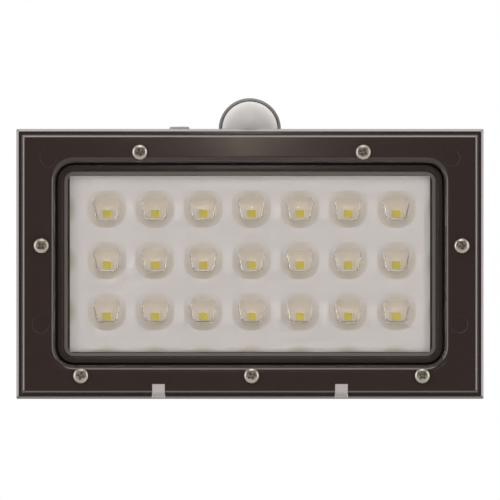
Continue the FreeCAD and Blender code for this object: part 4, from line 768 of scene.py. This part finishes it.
SCREW_HEAD_RADIUS = 2.95 * MM
SCREW_HEAD_HEIGHT = 1.7 * MM
SCREW_SHANK = 1.45 * MM
SCREW_LENGTH = 14.0 * MM
THREAD_PITCH = 1.1 * MM
THREAD_DEPTH = 0.25 * MM
THREAD_START = 2.0 * MM
TIP_LENGTH = 2.5 * MM
TIP_RADIUS = 0.2 * MM
CROWN_STEPS = 8
CROWN_FLAT = 0.35
CROWN_ROUND = 0.65
SCREW_SIDES = 48
SCREW_SHARP_DEGREES = 30.0
RECESS_DEPTH = 1.1 * MM
RECESS_MARGIN = 0.1 * MM
RECESS_MOUTH = (1.75 * MM, 0.42 * MM)
RECESS_FLOOR = (0.7 * MM, 0.2 * MM)
TOP_SCREW_X = 43.0 * MM
BOTTOM_SCREW_X = 65.7 * MM
SIDE_SCREW_RISE = 7.0 * MM


def screw_places():
    """Seven screws: X, Z and the turn of the cross recess."""
    top = screws_high.z - SCREW_HEAD_RADIUS
    low = screws_low.z + SCREW_HEAD_RADIUS
    middle = (screws_low.x + screws_high.x) / 2
    side = (screws_high.x - screws_low.x) / 2 - SCREW_HEAD_RADIUS
    side_z = CENTRE_Z + SIDE_SCREW_RISE
    return [
        (middle - TOP_SCREW_X, top, 20), (middle + TOP_SCREW_X, top, 65),
        (middle - side, side_z, 40), (middle + side, side_z, 10),
        (middle - BOTTOM_SCREW_X, low, 75), (middle, low, 30),
        (middle + BOTTOM_SCREW_X, low, 50),
    ]


def screw_profile():
    """Radius and distance in front of the seat, from the crown to the tip."""
    profile = []
    for step in range(CROWN_STEPS + 1):
        turn = step / CROWN_STEPS * math.pi / 2
        radius = SCREW_HEAD_RADIUS * (CROWN_FLAT + CROWN_ROUND * math.sin(turn))
        height = SCREW_HEAD_HEIGHT * (CROWN_FLAT + CROWN_ROUND * math.cos(turn) ** 0.8)
        profile.append((radius, height))
    profile.append((SCREW_HEAD_RADIUS * 0.985, 0.1 * MM))
    profile.append((SCREW_HEAD_RADIUS * 0.96, 0.0))
    profile.append((SCREW_SHANK, 0.0))
    depth = -THREAD_START
    while depth > -SCREW_LENGTH + TIP_LENGTH:
        profile.append((SCREW_SHANK - THREAD_DEPTH, depth))
        profile.append((SCREW_SHANK, depth - THREAD_PITCH / 2))
        depth -= THREAD_PITCH
    profile.append((SCREW_SHANK - THREAD_DEPTH, depth))
    profile.append((TIP_RADIUS, -SCREW_LENGTH))
    return profile


def lathe_ring(x, z, y, radius, sides):
    return [(x + radius * math.cos(2 * math.pi * i / sides), y,
             z + radius * math.sin(2 * math.pi * i / sides)) for i in range(sides)]


def cross_ring(x, y, z, degrees, reach, width):
    """Twelve points round a cross whose wings have this reach and half width."""
    points = []
    for quarter in range(4):
        angle = math.radians(degrees + 90 * quarter)
        along = Vector((math.cos(angle), 0, math.sin(angle)))
        across = Vector((-math.sin(angle), 0, math.cos(angle)))
        middle = Vector((x, y, z))
        points.append(middle + along * reach - across * width)
        points.append(middle + along * reach + across * width)
        points.append(middle + along * width + across * width)
    return points


def cross_recess(work, x, z, seat_y, degrees):
    """A cross that tapers from its mouth to its floor."""
    mouth_y = seat_y - SCREW_HEAD_HEIGHT - RECESS_MARGIN
    floor_y = seat_y - SCREW_HEAD_HEIGHT + RECESS_DEPTH
    closed_stack(work, [
        cross_ring(x, mouth_y, z, degrees, *RECESS_MOUTH),
        cross_ring(x, floor_y, z, degrees, *RECESS_FLOOR),
    ])


def bezel_screws():
    """All seven screws as one piece, with crown, thread and cross recess."""
    seat_y = screws_low.y + SCREW_HEAD_HEIGHT
    profile = screw_profile()
    work = bmesh.new()
    for x, z, degrees in screw_places():
        closed_stack(work, [lathe_ring(x, z, seat_y - height, radius, SCREW_SIDES)
                            for radius, height in profile])
    piece = finish_mesh("pan_head_screws", work)
    work = bmesh.new()
    for x, z, degrees in screw_places():
        cross_recess(work, x, z, seat_y, degrees)
    boolean(piece, finish_mesh("cross_tool", work), "DIFFERENCE")
    smooth_by_angle(piece.data, SCREW_SHARP_DEGREES)
    dress(piece, MATERIALS["screw_steel"])
    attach(piece, HEAD)
    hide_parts("bezel_screws")


# ------------------------------------------------------------------ stage

PHOTO_SIDE = 500.0
PIXELS_PER_METRE = 2600.0
CAMERA_DISTANCE = 3.2
CAMERA_LEFT_DEGREES = 0.2
CAMERA_UP_DEGREES = 0.3
SENSOR_WIDTH = 36.0
AIM_ROW = 250.0
HEAD_ROW = 264.0
CAMERA_REACH = 20.0
FLOOR_DROP = 0.12
FLOOR_RADIUS = 0.8
FLOOR_THICKNESS = 0.01
FLOOR_POINTS = 64

# Name, place, size, power in watts and colour of each soft box.
SOFT_BOXES = [
    ("right_box", (0.75, -0.55, 0.12), (0.35, 0.8), 3.0, (1.0, 0.97, 0.93)),
    ("left_box", (-0.8, -0.5, 0.15), (0.35, 0.8), 3.9, (1.0, 0.95, 0.94)),
    ("top_box", (0.0, -0.7, 0.75), (0.5, 0.35), 2.6, (1.0, 0.96, 0.93)),
]
WARM_SPOT_PLACE = (0.0, -1.04, 0.086)
WARM_SPOT_SIZE = (0.03, 0.03)
WARM_SPOT_POWER = 0.04
WARM_SPOT_COLOUR = (1.0, 0.86, 0.72)
WORLD_FRONT = 0.25
WORLD_BACK = 2.6


def camera():
    """A long lens in front of the lamp face, framed as in the photo."""
    data = bpy.data.cameras.new("camera")
    data.sensor_width = SENSOR_WIDTH
    field = PHOTO_SIDE / PIXELS_PER_METRE
    data.lens = SENSOR_WIDTH * CAMERA_DISTANCE / field
    data.clip_end = CAMERA_REACH
    item = make_object("camera", data)
    aim = Vector((0.0, FACE_Y, CENTRE_Z + (HEAD_ROW - AIM_ROW) / PIXELS_PER_METRE))
    left = math.radians(CAMERA_LEFT_DEGREES)
    up = math.radians(CAMERA_UP_DEGREES)
    away = Vector((-math.sin(left) * math.cos(up), -math.cos(left) * math.cos(up), math.sin(up)))
    item.location = aim + away * CAMERA_DISTANCE
    item.rotation_euler = (aim - item.location).to_track_quat("-Z", "Y").to_euler()
    bpy.context.scene.camera = item


def floor():
    work = bmesh.new()
    height = cad_box[0][2] - FLOOR_DROP
    outline = disc_outline([(0.0, 0.0, FLOOR_RADIUS)], FLOOR_POINTS)
    closed_stack(work, [
        [(x, y, height) for x, y in outline],
        [(x, y, height - FLOOR_THICKNESS) for x, y in outline],
    ])
    piece = finish_mesh("floor", work)
    dress(piece, moulded("floor_pale", (0.60, 0.60, 0.60), (0.6, 0.7), grain=0.1,
                         grain_scale=400.0, cloud=0.03))


def area_light(name, place, aim, size, power, colour):
    data = bpy.data.lights.new(name, "AREA")
    data.shape = "RECTANGLE"
    data.size, data.size_y = size
    data.energy = power
    data.color = colour
    item = make_object(name, data)
    item.location = place
    item.rotation_euler = (Vector(aim) - Vector(place)).to_track_quat("-Z", "Y").to_euler()


def lights():
    middle = (0.0, FACE_Y, CENTRE_Z)
    for name, place, size, power, colour in SOFT_BOXES:
        area_light(name, place, middle, size, power, colour)
    top_edge = (0.0, FACE_Y, bezel_high.z)
    area_light("warm_spot", WARM_SPOT_PLACE, top_edge, WARM_SPOT_SIZE, WARM_SPOT_POWER,
               WARM_SPOT_COLOUR)


def world():
    """White for the camera; as light, bright behind the lamp, dimmer in front and below."""
    item = bpy.data.worlds.new("studio")
    bpy.context.scene.world = item
    item.use_nodes = True
    tree = item.node_tree
    tree.nodes.clear()
    axes = add_node(tree, "ShaderNodeSeparateXYZ")
    where = add_node(tree, "ShaderNodeTexCoord").outputs["Generated"]
    tree.links.new(where, axes.inputs[0])
    level = map_range(tree, axes.outputs["Y"], -0.6, 0.5, WORLD_FRONT, WORLD_BACK)
    height = map_range(tree, axes.outputs["Z"], -1.0, 0.3, 0.5, 1.0)
    strength = math_node(tree, "MULTIPLY", level, height)
    surroundings = add_node(tree, "ShaderNodeBackground")
    surroundings.inputs["Color"].default_value = (1.0, 0.985, 0.975, 1.0)
    tree.links.new(strength, surroundings.inputs["Strength"])
    backdrop = add_node(tree, "ShaderNodeBackground")
    backdrop.inputs["Color"].default_value = (1.0, 1.0, 1.0, 1.0)
    rays = add_node(tree, "ShaderNodeLightPath")
    choose = add_node(tree, "ShaderNodeMixShader")
    tree.links.new(rays.outputs["Is Camera Ray"], choose.inputs[0])
    tree.links.new(surroundings.outputs[0], choose.inputs[1])
    tree.links.new(backdrop.outputs[0], choose.inputs[2])
    leave = add_node(tree, "ShaderNodeOutputWorld")
    tree.links.new(choose.outputs[0], leave.inputs["Surface"])


def plain_colours():
    settings = bpy.context.scene.view_settings
    settings.view_transform = "Standard"
    settings.look = "None"


# ------------------------------------------------------------------ the whole light

dress_frame()
lens_panel()
led_packages()
bezel_screws()
camera()
floor()
lights()
world()
plain_colours()
